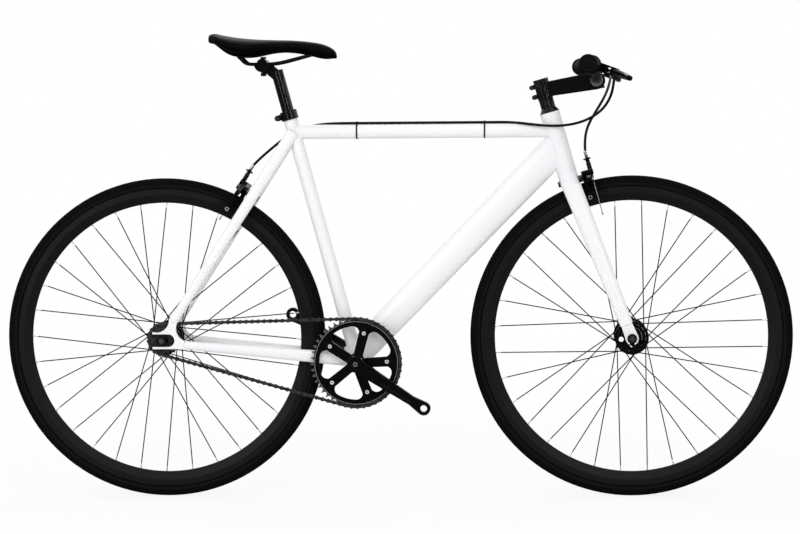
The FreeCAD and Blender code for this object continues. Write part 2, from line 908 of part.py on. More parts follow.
def cranks(bolts, ring_face):
    """Cranks, their square spindle and their bolts."""
    inner = crank_eye_y - crank_thickness / 2
    outer = crank_eye_y + crank_thickness / 2
    boss_outer = outer - crank_bolt_length
    spindle_end = boss_outer - crank_bolt_length
    square = spindle_square / 2
    bearing_end = shell_width / 2 + cup_lip
    round_end = bearing_end + spindle_shoulder
    spindle = cross_rod(bottom_bracket, -round_end, round_end, spindle_radius)
    for hand in (-1, 1):
        low = min(hand * bearing_end, hand * spindle_end)
        spindle = spindle.fuse(Part.makeBox(
            spindle_square, spindle_end - bearing_end, spindle_square,
            bottom_bracket + vec(-square, low, -square)))
    export("crank_spindle", spindle)
    crank_bolts = list(bolts)
    for hand, angle, node in ((-1, -crank_angle, "crank_right"), (1, 180 - crank_angle, "crank_left")):
        eye = bottom_bracket + turn(angle, crank_length)
        neck = bottom_bracket + turn(angle, crank_length * crank_neck_share)
        groove_start = bottom_bracket + turn(angle, crank_length * crank_groove_start)
        groove_end = bottom_bracket + turn(angle, crank_length * crank_groove_end)
        shapes = [
            link(bottom_bracket, crank_arm_root, neck, crank_neck_radius, hand * inner, hand * outer),
            link(neck, crank_neck_radius, eye, crank_eye_radius, hand * inner, hand * outer),
            cross_rod(bottom_bracket, hand * crank_boss_inner, hand * outer, crank_boss_radius)]
        if hand < 0:
            for i in range(spider_arm_count):
                arm_angle = -crank_angle + 180 / spider_arm_count * (1 + 2 * i)
                tip = bottom_bracket + turn(arm_angle, ring_bolt_circle / 2)
                shapes.append(link(bottom_bracket, spider_arm_width / 2, tip, spider_tip_radius,
                                   ring_face - spider_thickness, ring_face))
            shapes.append(cross_rod(bottom_bracket, ring_face, -crank_boss_inner, crank_boss_radius))
        solid = fused(shapes)
        solid = solid.cut(cross_rod(eye, hand * inner, hand * outer, pedal_thread_radius))
        solid = solid.cut(link(groove_start, crank_groove_radius, groove_end, crank_groove_radius,
                               hand * (outer - crank_groove_depth), hand * outer))
        hole = spindle_square + 2 * spindle_square_gap
        low = min(hand * (bearing_end - crank_boss_radius), hand * (spindle_end + spindle_square_gap))
        solid = solid.cut(Part.makeBox(
            hole, spindle_end + spindle_square_gap - bearing_end + crank_boss_radius, hole,
            bottom_bracket + vec(-hole / 2, low, -hole / 2)))
        solid = solid.cut(cross_rod(bottom_bracket, hand * spindle_end, hand * outer, crank_bolt_radius))
        if hand < 0:
            for i in range(spider_arm_count):
                arm_angle = -crank_angle + 180 / spider_arm_count * (1 + 2 * i)
                place = bottom_bracket + turn(arm_angle, ring_bolt_circle / 2)
                bolt_hole = cross_rod(place, ring_face - spider_thickness, ring_face, ring_bolt_radius)
                solid = solid.cut(bolt_hole)
        export(node, solid)
        cap = cross_rod(bottom_bracket, hand * spindle_end, hand * boss_outer, crank_bolt_radius)
        crank_bolts.append(cap)
    export("crank_bolts", *crank_bolts)


def bottom_bracket_parts():
    """Shell, and the two cups with their bearings."""
    half = shell_width / 2
    shell = ring(bottom_bracket, -half, half, shell_radius, shell_bore)
    export("bottom_bracket_shell", shell)
    pieces = []
    for hand in (-1, 1):
        inside = half - 2 * bottom_bearing_width
        cup = ring(bottom_bracket, hand * inside, hand * half, shell_bore, cup_bore)
        lip = ring(bottom_bracket, hand * half, hand * (half + cup_lip), cup_lip_radius, cup_bore)
        pieces.append(fused([cup, lip]))
        pieces.append(ring(bottom_bracket, hand * (half - bottom_bearing_width), hand * (half + cup_lip),
                           cup_bore, spindle_radius + running_gap))
    export("bottom_bracket_cartridge", *pieces)


def dropout_outline():
    """Side outline of a rear dropout: two jaws round the slot, and a seat for each stay."""
    a = rear_axle
    half = dropout_slot_height / 2
    tip = a.x - dropout_tip_behind
    slot_centre = a.x + dropout_slot_ahead
    low = a.z - half - dropout_jaw
    stay_half = seatstay_depth_low / 2
    back_edge = seatstay_foot - stay_back * -stay_half
    front_edge = seatstay_foot - stay_back * stay_half
    foot = chainstay_foot
    top_end = foot + UP * (chainstay_depth_rear / 2)
    throat = vec(slot_centre + half + dropout_throat_ahead, 0, a.z + half + dropout_throat_rise)
    return closed_wire(
        vec(tip, 0, a.z + half),
        vec(tip, 0, a.z + half + dropout_jaw),
        (vec(a.x + dropout_jaw, 0, a.z + half + 2 * dropout_jaw), back_edge),
        front_edge,
        (throat, top_end),
        vec(foot.x, 0, low),
        vec(tip, 0, low),
        vec(tip, 0, a.z - half),
        vec(slot_centre, 0, a.z - half),
        (vec(slot_centre + half, 0, a.z), vec(slot_centre, 0, a.z + half)))


def insert_outline():
    """Side outline of the steel plate that fills a dropout's slot, with the axle's own slot."""
    a = rear_axle
    half = dropout_slot_height / 2
    tip = a.x - dropout_tip_behind
    slot_centre = a.x + dropout_slot_ahead
    axle_half = rear_axle_radius + insert_slot_gap
    axle_end = a.x + insert_slot_ahead
    return closed_wire(
        vec(tip, 0, a.z + half),
        vec(slot_centre, 0, a.z + half),
        (vec(slot_centre + half, 0, a.z), vec(slot_centre, 0, a.z - half)),
        vec(tip, 0, a.z - half),
        vec(tip, 0, a.z - axle_half),
        vec(axle_end, 0, a.z - axle_half),
        (vec(axle_end + axle_half, 0, a.z), vec(axle_end, 0, a.z + axle_half)),
        vec(tip, 0, a.z + axle_half))


def frame():
    """The welded frame, each tube mitred to its neighbours."""
    shell = cross_rod(bottom_bracket, -shell_width / 2, shell_width / 2, shell_radius)
    seat_outer = rod(bottom_bracket, seat_top, seat_tube_radius)
    head_outer = rod(head_base, head_top, head_tube_radius)
    top_outer = rod(cluster, top_tube_front, top_tube_radius)

    head_joint = head_base - head_down * down_tube_head_height
    along = head_joint - bottom_bracket
    along.normalize()
    depth_axis = vec(-along.z, 0, along.x)
    down_start = bottom_bracket + depth_axis * down_tube_rise
    down_outer, down_inner = oval_tube([
        (down_start, depth_axis, down_tube_depth_low, down_tube_width),
        (head_joint, depth_axis, down_tube_depth_high, down_tube_width)], tube_thickness)

    dropout = slab(dropout_outline(), -dropout_inner, -dropout_inner - dropout_thickness)
    insert = slab(insert_outline(), -dropout_inner, -dropout_inner - dropout_thickness)

    seatstay_outer, seatstay_inner = oval_tube([
        (cluster - LEFT * seatstay_top_y, stay_back, seatstay_depth_top, seatstay_width),
        (seatstay_foot - LEFT * dropout_middle, stay_back, seatstay_depth_low, seatstay_width)],
        tube_thickness)

    stay_root = bottom_bracket + UP * chainstay_root_rise
    stay_run = stay_root - chainstay_foot
    stay_run.normalize()
    stay_normal = vec(-stay_run.z, 0, stay_run.x)
    bend = stay_root - stay_run * chainstay_bend_length
    bend_share = chainstay_bend_length / (stay_root - chainstay_foot).Length
    bend_depth = chainstay_depth_front + (chainstay_depth_rear - chainstay_depth_front) * bend_share
    root = (stay_root - LEFT * chainstay_root_y, stay_normal, chainstay_depth_front, chainstay_width)
    knee = (bend - LEFT * chainstay_bend_y, stay_normal, bend_depth, chainstay_width)
    foot = (chainstay_foot - LEFT * dropout_middle, stay_normal, chainstay_depth_rear, chainstay_width)
    front_outer, front_inner = oval_tube([root, knee], tube_thickness)
    back_outer, back_inner = oval_tube([knee, foot], tube_thickness)
    chainstay = fused([front_outer, back_outer]).cut(shell).cut(dropout)
    chainstay = chainstay.cut(front_inner).cut(back_inner).cut(seat_outer)

    export("head_tube", head_outer.cut(rod(head_base, head_top, head_tube_bore)))
    seat_inner = rod(bottom_bracket, seat_top, post_radius + post_gap)
    export("seat_tube", seat_outer.cut(seat_inner).cut(shell))
    top_inner = rod(cluster, top_tube_front, top_tube_radius - tube_thickness)
    export("top_tube", top_outer.cut(top_inner).cut(seat_outer).cut(head_outer))
    down = down_outer.cut(down_inner).cut(shell).cut(seat_outer).cut(head_outer).cut(top_outer)
    export("down_tube", biggest(down))
    export("chainstays", biggest(chainstay), mirrored(biggest(chainstay)))
    seatstay = seatstay_outer.cut(seatstay_inner).cut(seat_outer).cut(top_outer).cut(dropout)
    seatstay = biggest(seatstay)
    export("seatstays", seatstay, mirrored(seatstay))
    export("rear_dropouts", dropout, insert, mirrored(dropout), mirrored(insert))

    bridge_place = cluster + stay_down * bridge_distance
    bridge_share = bridge_distance / stay_length
    bridge_half = seatstay_top_y + (dropout_middle - seatstay_top_y) * bridge_share
    bridge = cross_rod(bridge_place, -bridge_half, bridge_half, bridge_radius)
    bridge = bridge.cut(seatstay_outer).cut(mirrored(seatstay_outer))
    bolt_reach = stay_back * (2 * bridge_radius)
    bridge = bridge.cut(rod(bridge_place - bolt_reach, bridge_place + bolt_reach,
                            brake_bolt_radius + brake_bolt_gap))
    seat = stay_back * (bridge_radius - brake_seat_depth)
    bridge = bridge.cut(rod(bridge_place + seat, bridge_place + bolt_reach, brake_spacer_radius))
    bridge = bridge.cut(rod(bridge_place - seat, bridge_place - bolt_reach, brake_spacer_radius))
    export("brake_bridge", biggest(bridge))

    headset = []
    for place in (head_base, head_top + head_down * headset_bearing_height):
        low = place - head_down * running_gap
        top = place - head_down * (headset_bearing_height - running_gap)
        headset.append(rod(low, top, head_tube_bore).cut(rod(low, top, steerer_radius + running_gap)))
    export("headset_bearings", *headset)
    return bridge_place


def biggest(shape):
    """The main solid of a mitred tube, without the slivers that a mitre can leave."""
    return max(shape.Solids, key=lambda solid: solid.Volume)


def seat_clamp():
    """Split collar at the top of the seat tube. Gives back its bolt."""
    low = seat_top - seat_up * collar_height
    collar = rod(low, seat_top, collar_radius)
    middle = low + seat_up * (collar_height / 2)
    bolt_place = middle + seat_back * collar_ear_reach
    ears = link(middle, collar_ear_radius, bolt_place, collar_ear_radius, -collar_ear_half, collar_ear_half)
    clamp = fused([collar, ears])
    slit_start = middle + seat_back * seat_tube_radius
    slit = link(slit_start, collar_height, bolt_place, collar_height, -collar_slit, collar_slit)
    clamp = clamp.cut(rod(low, seat_top, seat_tube_radius)).cut(slit)
    clamp = clamp.cut(cross_rod(bolt_place, -collar_ear_half, collar_ear_half, collar_bolt_radius))
    export("seat_clamp", clamp)
    bolt = cross_rod(bolt_place, -collar_ear_half, collar_ear_half, collar_bolt_radius)
    head_end = -collar_ear_half - collar_bolt_head
    head = cross_rod(bolt_place, -collar_ear_half, head_end, collar_bolt_head_radius)
    return fused([bolt, head])


def crown_section(centre, half_width, half_depth, flat_width, flat_depth):
    """A rounded section across the steering axis, made of four arcs."""
    corners = []
    for side, front in ((-1, 1), (1, 1), (1, -1), (-1, -1)):
        corners.append(centre + LEFT * (side * flat_width) + head_ahead * (front * flat_depth))
    return closed_wire(
        corners[0],
        (centre + head_ahead * half_depth, corners[1]),
        (centre + LEFT * half_width, corners[2]),
        (centre - head_ahead * half_depth, corners[3]),
        (centre - LEFT * half_width, corners[0]))


def fork():
    """Steerer with its crown, and the two blades with their ends."""
    crown_low = head_base + head_down * crown_height
    shoulder = head_base + head_down * crown_shoulder
    corner = head_tube_radius / math.sqrt(2)
    round_top = crown_section(head_base, head_tube_radius, head_tube_radius, corner, corner)
    crown_size = (crown_half_width, crown_half_depth, crown_flat_width, crown_flat_depth)
    wide = crown_section(shoulder, *crown_size)
    wide_low = crown_section(crown_low, *crown_size)
    crown = fused([
        Part.makeLoft([round_top, wide], True, False),
        Part.makeLoft([wide, wide_low], True, False),
        rod(shoulder, stem_top, steerer_radius)])
    crown = crown.cut(rod(shoulder, stem_top, steerer_bore))
    bolt_place = head_base + head_down * front_brake_drop
    bolt_reach = head_ahead * (2 * crown_half_depth)
    bolt_hole = brake_bolt_radius + brake_bolt_gap
    crown = crown.cut(rod(bolt_place - bolt_reach, bolt_place + bolt_reach, bolt_hole))
    seat = head_ahead * (crown_half_depth - brake_seat_depth)
    crown = crown.cut(rod(bolt_place + seat, bolt_place + bolt_reach, brake_spacer_radius))
    crown = crown.cut(rod(bolt_place - seat, bolt_place - bolt_reach, brake_spacer_radius))
    export("fork_crown", crown)

    blade_start = head_base + head_down * blade_top_drop
    blade_run = front_axle - blade_start
    blade_run.normalize()
    blade_ahead = vec(-blade_run.z, 0, blade_run.x)
    blade_top = blade_start + blade_run * ((crown_height - blade_top_drop) / blade_run.dot(head_down))
    blade_end = front_axle - blade_run * blade_end_rise
    end_inner = front_hub_spacing / 2
    end_outer = end_inner + fork_end_thickness
    end_middle = (end_inner + end_outer) / 2
    top_section = (blade_top - LEFT * blade_top_y, head_ahead, blade_top_depth, blade_top_width)
    end_section = (blade_end - LEFT * end_middle, blade_ahead, blade_end_depth, blade_end_width)
    outer, through = oval_tube([top_section, end_section], tube_thickness)
    plug = rod(blade_end - LEFT * end_middle - blade_run * blade_solid_end, blade_end - LEFT * end_middle,
               blade_end_depth)
    end = link(front_axle, fork_end_radius, blade_end, fork_tang_radius, -end_inner, -end_outer)
    slot_half = front_axle_radius + fork_slot_gap
    slot_mouth = front_axle - UP * (2 * fork_end_radius)
    slot = link(front_axle, slot_half, slot_mouth, slot_half, -end_inner, -end_outer)
    blade = biggest(outer.cut(through.cut(plug)).cut(end))
    end = end.cut(slot)
    export("fork_blades", blade, end, mirrored(blade), mirrored(end))
    return bolt_place


def cockpit():
    """Headset cover, spacers, stem, bar and grips."""
    place = head_top - head_down * cover_height
    stack = [cone(head_top, place, cover_radius, spacer_radius)]
    for height in spacer_heights:
        following = place - head_down * height
        stack.append(rod(place, following, spacer_radius))
        place = following
    hole = rod(head_top, stem_top, steerer_radius + fit_gap)
    cap = rod(stem_top, stem_top - head_down * top_cap_height, stem_clamp_radius)
    export("headset_spacers", *([piece.cut(hole) for piece in stack] + [cap]))

    half = stem_width / 2
    clamp = rod(stem_base, stem_top, stem_clamp_radius)
    arm = link(stem_middle, stem_root_radius, bar_centre, stem_front_radius, -half, half)
    ears = []
    bolts = []
    for offset in (-stem_bolt_spread / 2, stem_bolt_spread / 2):
        level = stem_middle - head_down * offset
        bolt_place = level - head_ahead * stem_ear_reach
        ears.append(link(level, stem_ear_radius, bolt_place, stem_ear_radius,
                         -stem_ear_half, stem_ear_half))
        shank = cross_rod(bolt_place, -stem_ear_half, stem_ear_half, stem_bolt_radius)
        head_end = -stem_ear_half - stem_bolt_head
        head = cross_rod(bolt_place, -stem_ear_half, head_end, stem_bolt_head_radius)
        bolts.append(fused([shank, head]))
    slit_start = stem_middle - head_ahead * steerer_radius
    slit_end = stem_middle - head_ahead * (2 * stem_ear_reach)
    slit = link(slit_start, stem_clamp_height, slit_end, stem_clamp_height, -collar_slit, collar_slit)
    stem = fused([clamp, arm] + ears).cut(slit).cut(hole)
    stem = stem.cut(cross_rod(bar_centre, -half, half, bar_clamp_radius + fit_gap))
    for bolt in bolts:
        stem = stem.cut(bolt)
    cutter = Part.makeBox(2 * stem_front_radius, stem_width, 4 * stem_front_radius,
                          vec(0, -half, -2 * stem_front_radius))
    stem_up = turn(stem_slope + 90)
    ahead_side = placed(cutter, bar_centre, stem_ahead, LEFT)
    gap_side = placed(cutter, bar_centre + stem_ahead * faceplate_gap, stem_ahead, LEFT)
    plate = stem.common(gap_side)
    stem = stem.cut(ahead_side)
    for y in (-faceplate_bolt_y, faceplate_bolt_y):
        for z in (-faceplate_bolt_z, faceplate_bolt_z):
            start = bar_centre + LEFT * y + stem_up * z - stem_ahead * faceplate_bolt_length
            end = bar_centre + LEFT * y + stem_up * z + stem_ahead * faceplate_bolt_length
            bolt = rod(start, end, stem_bolt_radius)
            plate = plate.cut(bolt)
            stem = stem.cut(bolt)
            bolts.append(bolt)
    export("stem", biggest(stem))
    export("stem_faceplate", *plate.Solids)

    bar = handlebar_path(bar_radius).fuse(
        cross_rod(bar_centre, -bar_clamp_half, bar_clamp_half, bar_clamp_radius))
    for hand in (-1, 1):
        start = bar_centre + LEFT * (hand * bar_clamp_half)
        end = bar_centre + LEFT * (hand * bar_taper_end)
        bar = bar.fuse(cone(start, end, bar_clamp_radius, bar_radius))
    export("handlebar", biggest(bar.removeSplitter().cut(handlebar_path(bar_radius - bar_wall))))
    return bolts


def bar_point(y):
    """Middle of the bar's straight end section at a distance from the centre."""
    share = (abs(y) - bar_bend_end) / (bar_half_width - bar_bend_end)
    back = bar_bend_sweep + (bar_sweep - bar_bend_sweep) * share
    return bar_centre + vec(-back, y, bar_rise)


def handlebar_path(radius):
    """A round cord along the bar."""
    points = []
    for y in (-bar_half_width, -bar_bend_end):
        points.append(bar_point(y))
    points.append(bar_centre - LEFT * bar_bend_start)
    points.append(bar_centre + LEFT * bar_bend_start)
    for y in (bar_bend_end, bar_half_width):
        points.append(bar_point(y))
    return cord(points, radius)


def grips():
    """Grips with a collar at each end and a closed outer end."""
    solids = []
    for hand in (-1, 1):
        end = bar_point(hand * bar_half_width)
        inward = bar_point(hand * bar_bend_end) - end
        inward.normalize()
        start = end + inward * grip_length
        outer_end = end - inward * grip_cap
        body = fused([
            rod(outer_end, start, grip_radius),
            rod(outer_end, end + inward * grip_flange_length, grip_flange_radius),
            rod(start, start - inward * grip_flange_length, grip_flange_radius)])
        solids.append(body.cut(rod(end, start, bar_radius)))
    export("grips", *solids)


def lever_axes(hand):
    """Origin on the bar, direction ahead and down to the lever, and outwards along the bar."""
    inner = bar_point(hand * bar_bend_end)
    outer = bar_point(hand * bar_half_width)
    outward = outer - inner
    outward.normalize()
    ahead = turn(-bracket_tilt)
    ahead = ahead - outward * ahead.dot(outward)
    ahead.normalize()
    return bar_point(hand * bracket_y), ahead, outward


def brake_levers():
    """Brackets on the bar with their pins, and the two levers."""
    brackets = []
    pins = []
    starts = []
    pivot = vec(lever_pivot_reach, 0, lever_pivot_out)
    for hand, node in ((-1, "brake_lever_right"), (1, "brake_lever_left")):
        origin, ahead, outward = lever_axes(hand)
        half = bracket_thickness / 2
        slot_half = lever_thickness / 2 + lever_slot_gap
        body = link(ORIGIN, bracket_body_radius, pivot, bracket_body_radius, -half, half)
        clamp = rod(vec(0, 0, -bracket_width / 2), vec(0, 0, bracket_width / 2), bracket_radius)
        stop = vec(lever_pivot_reach, 0, lever_pivot_out - bracket_body_radius)
        adjuster_end = stop - UP * lever_adjuster_length
        adjuster = rod(stop + UP * bracket_body_radius, adjuster_end, lever_adjuster_radius)
        bracket = fused([body, clamp, adjuster])
        room = bracket_body_radius + lever_root_radius
        slot = link(pivot, room, pivot + vec(room, 0, room), room, -slot_half, slot_half)
        bracket = bracket.cut(slot)
        bracket = bracket.cut(cross_rod(pivot, -half, half, lever_pin_radius))
        bracket = bracket.cut(rod(vec(0, 0, -bracket_width), vec(0, 0, bracket_width), bar_radius))
        bend = pivot + vec(lever_bend_reach, 0, lever_bend_out)
        tip = pivot + vec(lever_tip_reach, 0, lever_tip_out)
        thick = lever_thickness / 2
        lever = fused([
            link(pivot, lever_root_radius, bend, lever_mid_radius, -thick, thick),
            link(bend, lever_mid_radius, tip, lever_tip_radius, -thick, thick)])
        lever = lever.cut(cross_rod(pivot, -half, half, lever_pin_radius + running_gap))
        pin = cross_rod(pivot, -half, half, lever_pin_radius)
        across = outward.cross(ahead)
        export(node, placed(lever, origin, ahead, across))
        brackets.append(placed(bracket, origin, ahead, across))
        pins.append(placed(pin, origin, ahead, across))
        place = origin + ahead * adjuster_end.x + outward * adjuster_end.z
        starts.append((place, outward * -1))
    export("brake_lever_brackets", *(brackets + pins))
    return starts


def caliper(side, origin, out, up, hand, offset, bolt_depth, axle):
    """A side-pull caliper. Its own X is to the cable side, Y outwards along the bolt and Z up."""
    across = LEFT * hand
    pad_radius = rim_radius - pad_drop
    offset_in = origin - axle
    lift = offset_in.dot(up)
    reach = lift - math.sqrt(lift ** 2 - offset_in.dot(offset_in) + pad_radius ** 2)
    radial = offset_in - up * reach
    pad_lean = math.degrees(math.atan2(-radial.dot(out), radial.dot(up)))
    stop_face = -arm_thickness - arm_gap - arm_thickness / 2
    layers = {"stop": (stop_face, stop_face + arm_thickness),
              "anchor": (-arm_thickness / 2, arm_thickness / 2)}
    feet = {"stop": 1, "anchor": -1}
    tips = {"stop": vec(cable_side, 0, stop_rise), "anchor": vec(cable_side, 0, anchor_rise)}
    wire_x = arm_thickness / 2 + wire_ahead
    pad_face = rim_width / 2 + pad_gap
    shoe_inner = pad_face + pad_thickness
    shoe_outer = shoe_inner + pad_shoe_thickness
    foot_side = shoe_outer + arm_foot_radius
    solids = {}
    pads = {}
    for name in ("stop", "anchor"):
        low, high = layers[name]
        sign = feet[name]
        knee = vec(sign * (foot_side + arm_knee_out), 0, -arm_knee_drop)
        foot = vec(sign * foot_side, 0, -reach)
        arm = fused([
            link(ORIGIN, arm_boss_radius, knee, arm_knee_radius, low, high),
            link(knee, arm_knee_radius, foot, arm_foot_radius, low, high),
            link(ORIGIN, arm_boss_radius, tips[name], arm_tip_radius, low, high)])
        arm = arm.cut(cross_rod(ORIGIN, low, high, brake_bolt_radius + brake_bolt_gap))
        solids[name] = arm
        middle = (low + high) / 2
        block = Part.makeBox(pad_thickness, pad_length, pad_height,
                             vec(pad_face, -pad_length / 2, -pad_height / 2))
        shoe = Part.makeBox(pad_shoe_thickness, pad_length, pad_height,
                            vec(shoe_inner, -pad_length / 2, -pad_height / 2))
        bolt_end = foot_side + arm_foot_radius
        bolt = rod(vec(shoe_outer, middle, 0), vec(bolt_end, middle, 0), pad_bolt_radius)
        head = rod(vec(bolt_end, middle, 0), vec(bolt_end + pad_bolt_head, middle, 0), pad_bolt_head_radius)
        block.rotate(ORIGIN, vec(1, 0, 0), pad_lean)
        shoe.rotate(ORIGIN, vec(1, 0, 0), pad_lean)
        placed_parts = []
        for piece in (block, shoe, fused([bolt, head])):
            piece.translate(UP * -reach)
            placed_parts.append(piece if sign > 0 else piece.mirror(ORIGIN, vec(1, 0, 0)))
        solids[name] = solids[name].cut(placed_parts[2])
        pads[name] = placed_parts
    stop_top = tips["stop"] + vec(0, wire_x, 0)
    barrel_low = stop_top + UP * arm_tip_radius
    barrel_top = stop_top + UP * adjuster_length
    collar = barrel_top - UP * (1.5 * adjuster_collar_height)
    adjuster = fused([
        rod(barrel_low, barrel_top, adjuster_radius),
        rod(collar, collar + UP * adjuster_collar_height, adjuster_collar_radius)])
    wire_hole = rod(stop_top - UP * (2 * arm_tip_radius), barrel_top, wire_radius + wire_room)
    boss_end = wire_x + arm_tip_radius - wire_radius
    boss = cross_rod(tips["stop"], stop_face, boss_end, arm_tip_radius)
    solids["stop"] = fused([solids["stop"], boss]).cut(wire_hole)
    adjuster = adjuster.cut(wire_hole)
    anchor_face = layers["anchor"][1]
    wire_low = vec(cable_side, wire_x, anchor_rise - wire_tail)
    wire = rod(wire_low, vec(cable_side, wire_x, stop_rise - arm_tip_radius + wire_room), wire_radius)
    nut_end = vec(cable_side, wire_x + 2 * wire_radius, anchor_rise)
    nut = rod(vec(cable_side, anchor_face, anchor_rise), nut_end, 5 * wire_radius).cut(wire)
    bodies = {"stop": [solids["stop"], adjuster], "anchor": [solids["anchor"], nut, wire]}
    side_of = {"stop": "left" if hand > 0 else "right", "anchor": "right" if hand > 0 else "left"}
    for name in ("stop", "anchor"):
        export("%s_caliper_arm_%s" % (side, side_of[name]),
               *[placed(piece, origin, across, out) for piece in bodies[name]])
        export("%s_brake_pad_%s" % (side, side_of[name]),
               *[placed(piece, origin, across, out) for piece in pads[name]])
    bolt_front = arm_thickness / 2
    nut_start = bolt_front + arm_gap
    frame_face = -offset + bolt_depth
    spacer = ring(ORIGIN, frame_face, stop_face - arm_gap, brake_spacer_radius, brake_bolt_radius)
    bolt = cross_rod(ORIGIN, -offset - bolt_depth - brake_nut_length, nut_start + brake_nut_length,
                     brake_bolt_radius)
    nut_out = ring(ORIGIN, nut_start, nut_start + brake_nut_length, brake_nut_radius, brake_bolt_radius)
    nut_in = ring(ORIGIN, -offset - bolt_depth - brake_nut_length, -offset - bolt_depth,
                  brake_nut_radius, brake_bolt_radius)
    pieces = [placed(piece, origin, across, out) for piece in (bolt, spacer, nut_out, nut_in)]
    cable_rise = stop_rise + adjuster_length + cable_end_gap
    cable_end = origin + across * cable_side + out * wire_x + up * cable_rise
    return pieces, cable_end


def cables(lever_ends, front_end, rear_end):
    """Cable housings from the levers to the calipers, and the ties on the top tube."""
    over_tube = top_tube_height + top_tube_radius + cable_radius + fit_gap
    straight = over_tube + cable_lift
    (right, right_inward), (left, left_inward) = lever_ends
    front = [left, left + left_inward * (12 * cable_radius)]
    front += [bar_centre + vec(*point) for point in front_cable_points]
    front += [front_end - head_down * (6 * cable_radius), front_end]
    export("front_cable_housing", cord(front, cable_radius))
    split = vec(head_top.x - cable_split, 0, straight)
    loop = [right, right + right_inward * (11 * cable_radius)]
    loop += [bar_centre + vec(*point) for point in rear_loop_points]
    loop += [split + vec(cable_lead, 0, 0), split]
    export("rear_cable_loop", cord(loop, cable_radius))
    run = [split]
    run += [cluster + vec(*point) for point in rear_run_points]
    run += [rear_end - stay_down * (7 * cable_radius), rear_end]
    export("rear_cable_housing", cord(run, cable_radius))
    ties = []
    tube_centre = vec(0, 0, top_tube_height)
    cable_centre = vec(0, 0, straight)
    for x in tie_places:
        strap = link(tube_centre, top_tube_radius + tie_thickness,
                     cable_centre, cable_radius + tie_thickness, 0, tie_width)
        hole = link(tube_centre, top_tube_radius, cable_centre, cable_radius + fit_gap, 0, tie_width)
        side = top_tube_radius
        tail = Part.makeBox(tie_thickness, tie_width, tie_tail,
                            vec(-side - 2 * tie_thickness, 0, top_tube_height - tie_tail))
        tie = strap.fuse(tail).cut(hole)
        ties.append(placed(biggest(tie), vec(cluster.x + x, 0, 0), LEFT, vec(-1, 0, 0)))
    export("cable_ties", *ties)


def saddle_section(station):
    """One cross section of the saddle: flat below, drawn-in sides and a crowned top."""
    ahead, crown, skirt, half = station
    x = post_top.x - saddle_tail_back + ahead
    low = saddle_rail_height + skirt + cover_lift
    top = saddle_rail_height + crown
    depth = top - low
    base = cover_base_share * half
    edge = cover_edge_share * half
    edge_z = low + cover_edge_rise * depth
    side_z = low + cover_side_rise * depth
    return closed_wire(
        vec(x, -base, low),
        vec(x, base, low),
        (vec(x, half, side_z), vec(x, edge, edge_z)),
        (vec(x, 0, top), vec(x, -edge, edge_z)),
        (vec(x, -half, side_z), vec(x, -base, low)))


def saddle_plate_section(station):
    """One cross section of the shell under the cover."""
    ahead, _, skirt, half = station
    x = post_top.x - saddle_tail_back + ahead
    top = saddle_rail_height + skirt
    side = max(cover_base_share * half - shell_inset, shell_inset / 4)
    return closed_wire(
        vec(x, -side, top - shell_thickness),
        vec(x, side, top - shell_thickness),
        vec(x, side, top),
        vec(x, -side, top))


def saddle():
    """Seatpost, rail clamp, rails, shell and cover."""
    bottom = seat_top - seat_up * post_insert
    clamp_x = post_top.x - saddle_setback
    rail_z = saddle_rail_height
    clamp_centre = vec(clamp_x, 0, rail_z)
    neck_low = post_top - seat_up * post_radius
    neck_root = post_radius - post_wall / 2
    room = 8 * clamp_low_radius
    above = Part.makeBox(room, room, room, clamp_centre + vec(-room / 2, -room / 2, -fit_gap))
    below = Part.makeBox(room, room, room, clamp_centre + vec(-room / 2, -room / 2, fit_gap - room))
    drum = cross_rod(clamp_centre, -clamp_half_width, clamp_half_width, clamp_low_radius)
    post = fused([
        rod(bottom, post_top, post_radius),
        link(neck_low, neck_root, clamp_centre, clamp_neck_radius, -clamp_neck_radius, clamp_neck_radius)])
    post = post.cut(drum).cut(above)
    post = post.cut(rod(bottom, post_top - seat_up * (3 * post_radius), post_radius - post_wall))
    low = drum.cut(above)
    high = cross_rod(clamp_centre, -clamp_half_width, clamp_half_width, clamp_high_radius).cut(below)
    rails = []
    for hand in (-1, 1):
        route = [clamp_centre + vec(ahead, hand * side, rise) for ahead, side, rise in rail_points]
        rails.append(cord(route, rail_radius))
    bolt_low = clamp_centre - UP * (clamp_low_radius + clamp_head_height)
    bolt_top = clamp_centre + UP * (clamp_high_radius + clamp_nut_height)
    bolt = fused([
        rod(bolt_low, bolt_top, clamp_bolt_radius),
        rod(bolt_low, bolt_low + UP * clamp_head_height, 2 * clamp_bolt_radius),
        rod(bolt_top - UP * clamp_nut_height, bolt_top, 2 * clamp_bolt_radius)])
    for rail in rails:
        low = low.cut(rail)
        high = high.cut(rail)
    export("seatpost", biggest(post.cut(bolt)))
    export("saddle_clamp", biggest(low.cut(bolt)), biggest(high.cut(bolt)), bolt)
    shell = Part.makeLoft([saddle_plate_section(station) for station in saddle_stations], True, False)
    cover = Part.makeLoft([saddle_section(station) for station in saddle_stations], True, False)
    export("saddle_shell", shell)
    export("saddle_cover", cover)
    export("saddle_rails", *[biggest(rail.cut(shell).cut(cover)) for rail in rails])


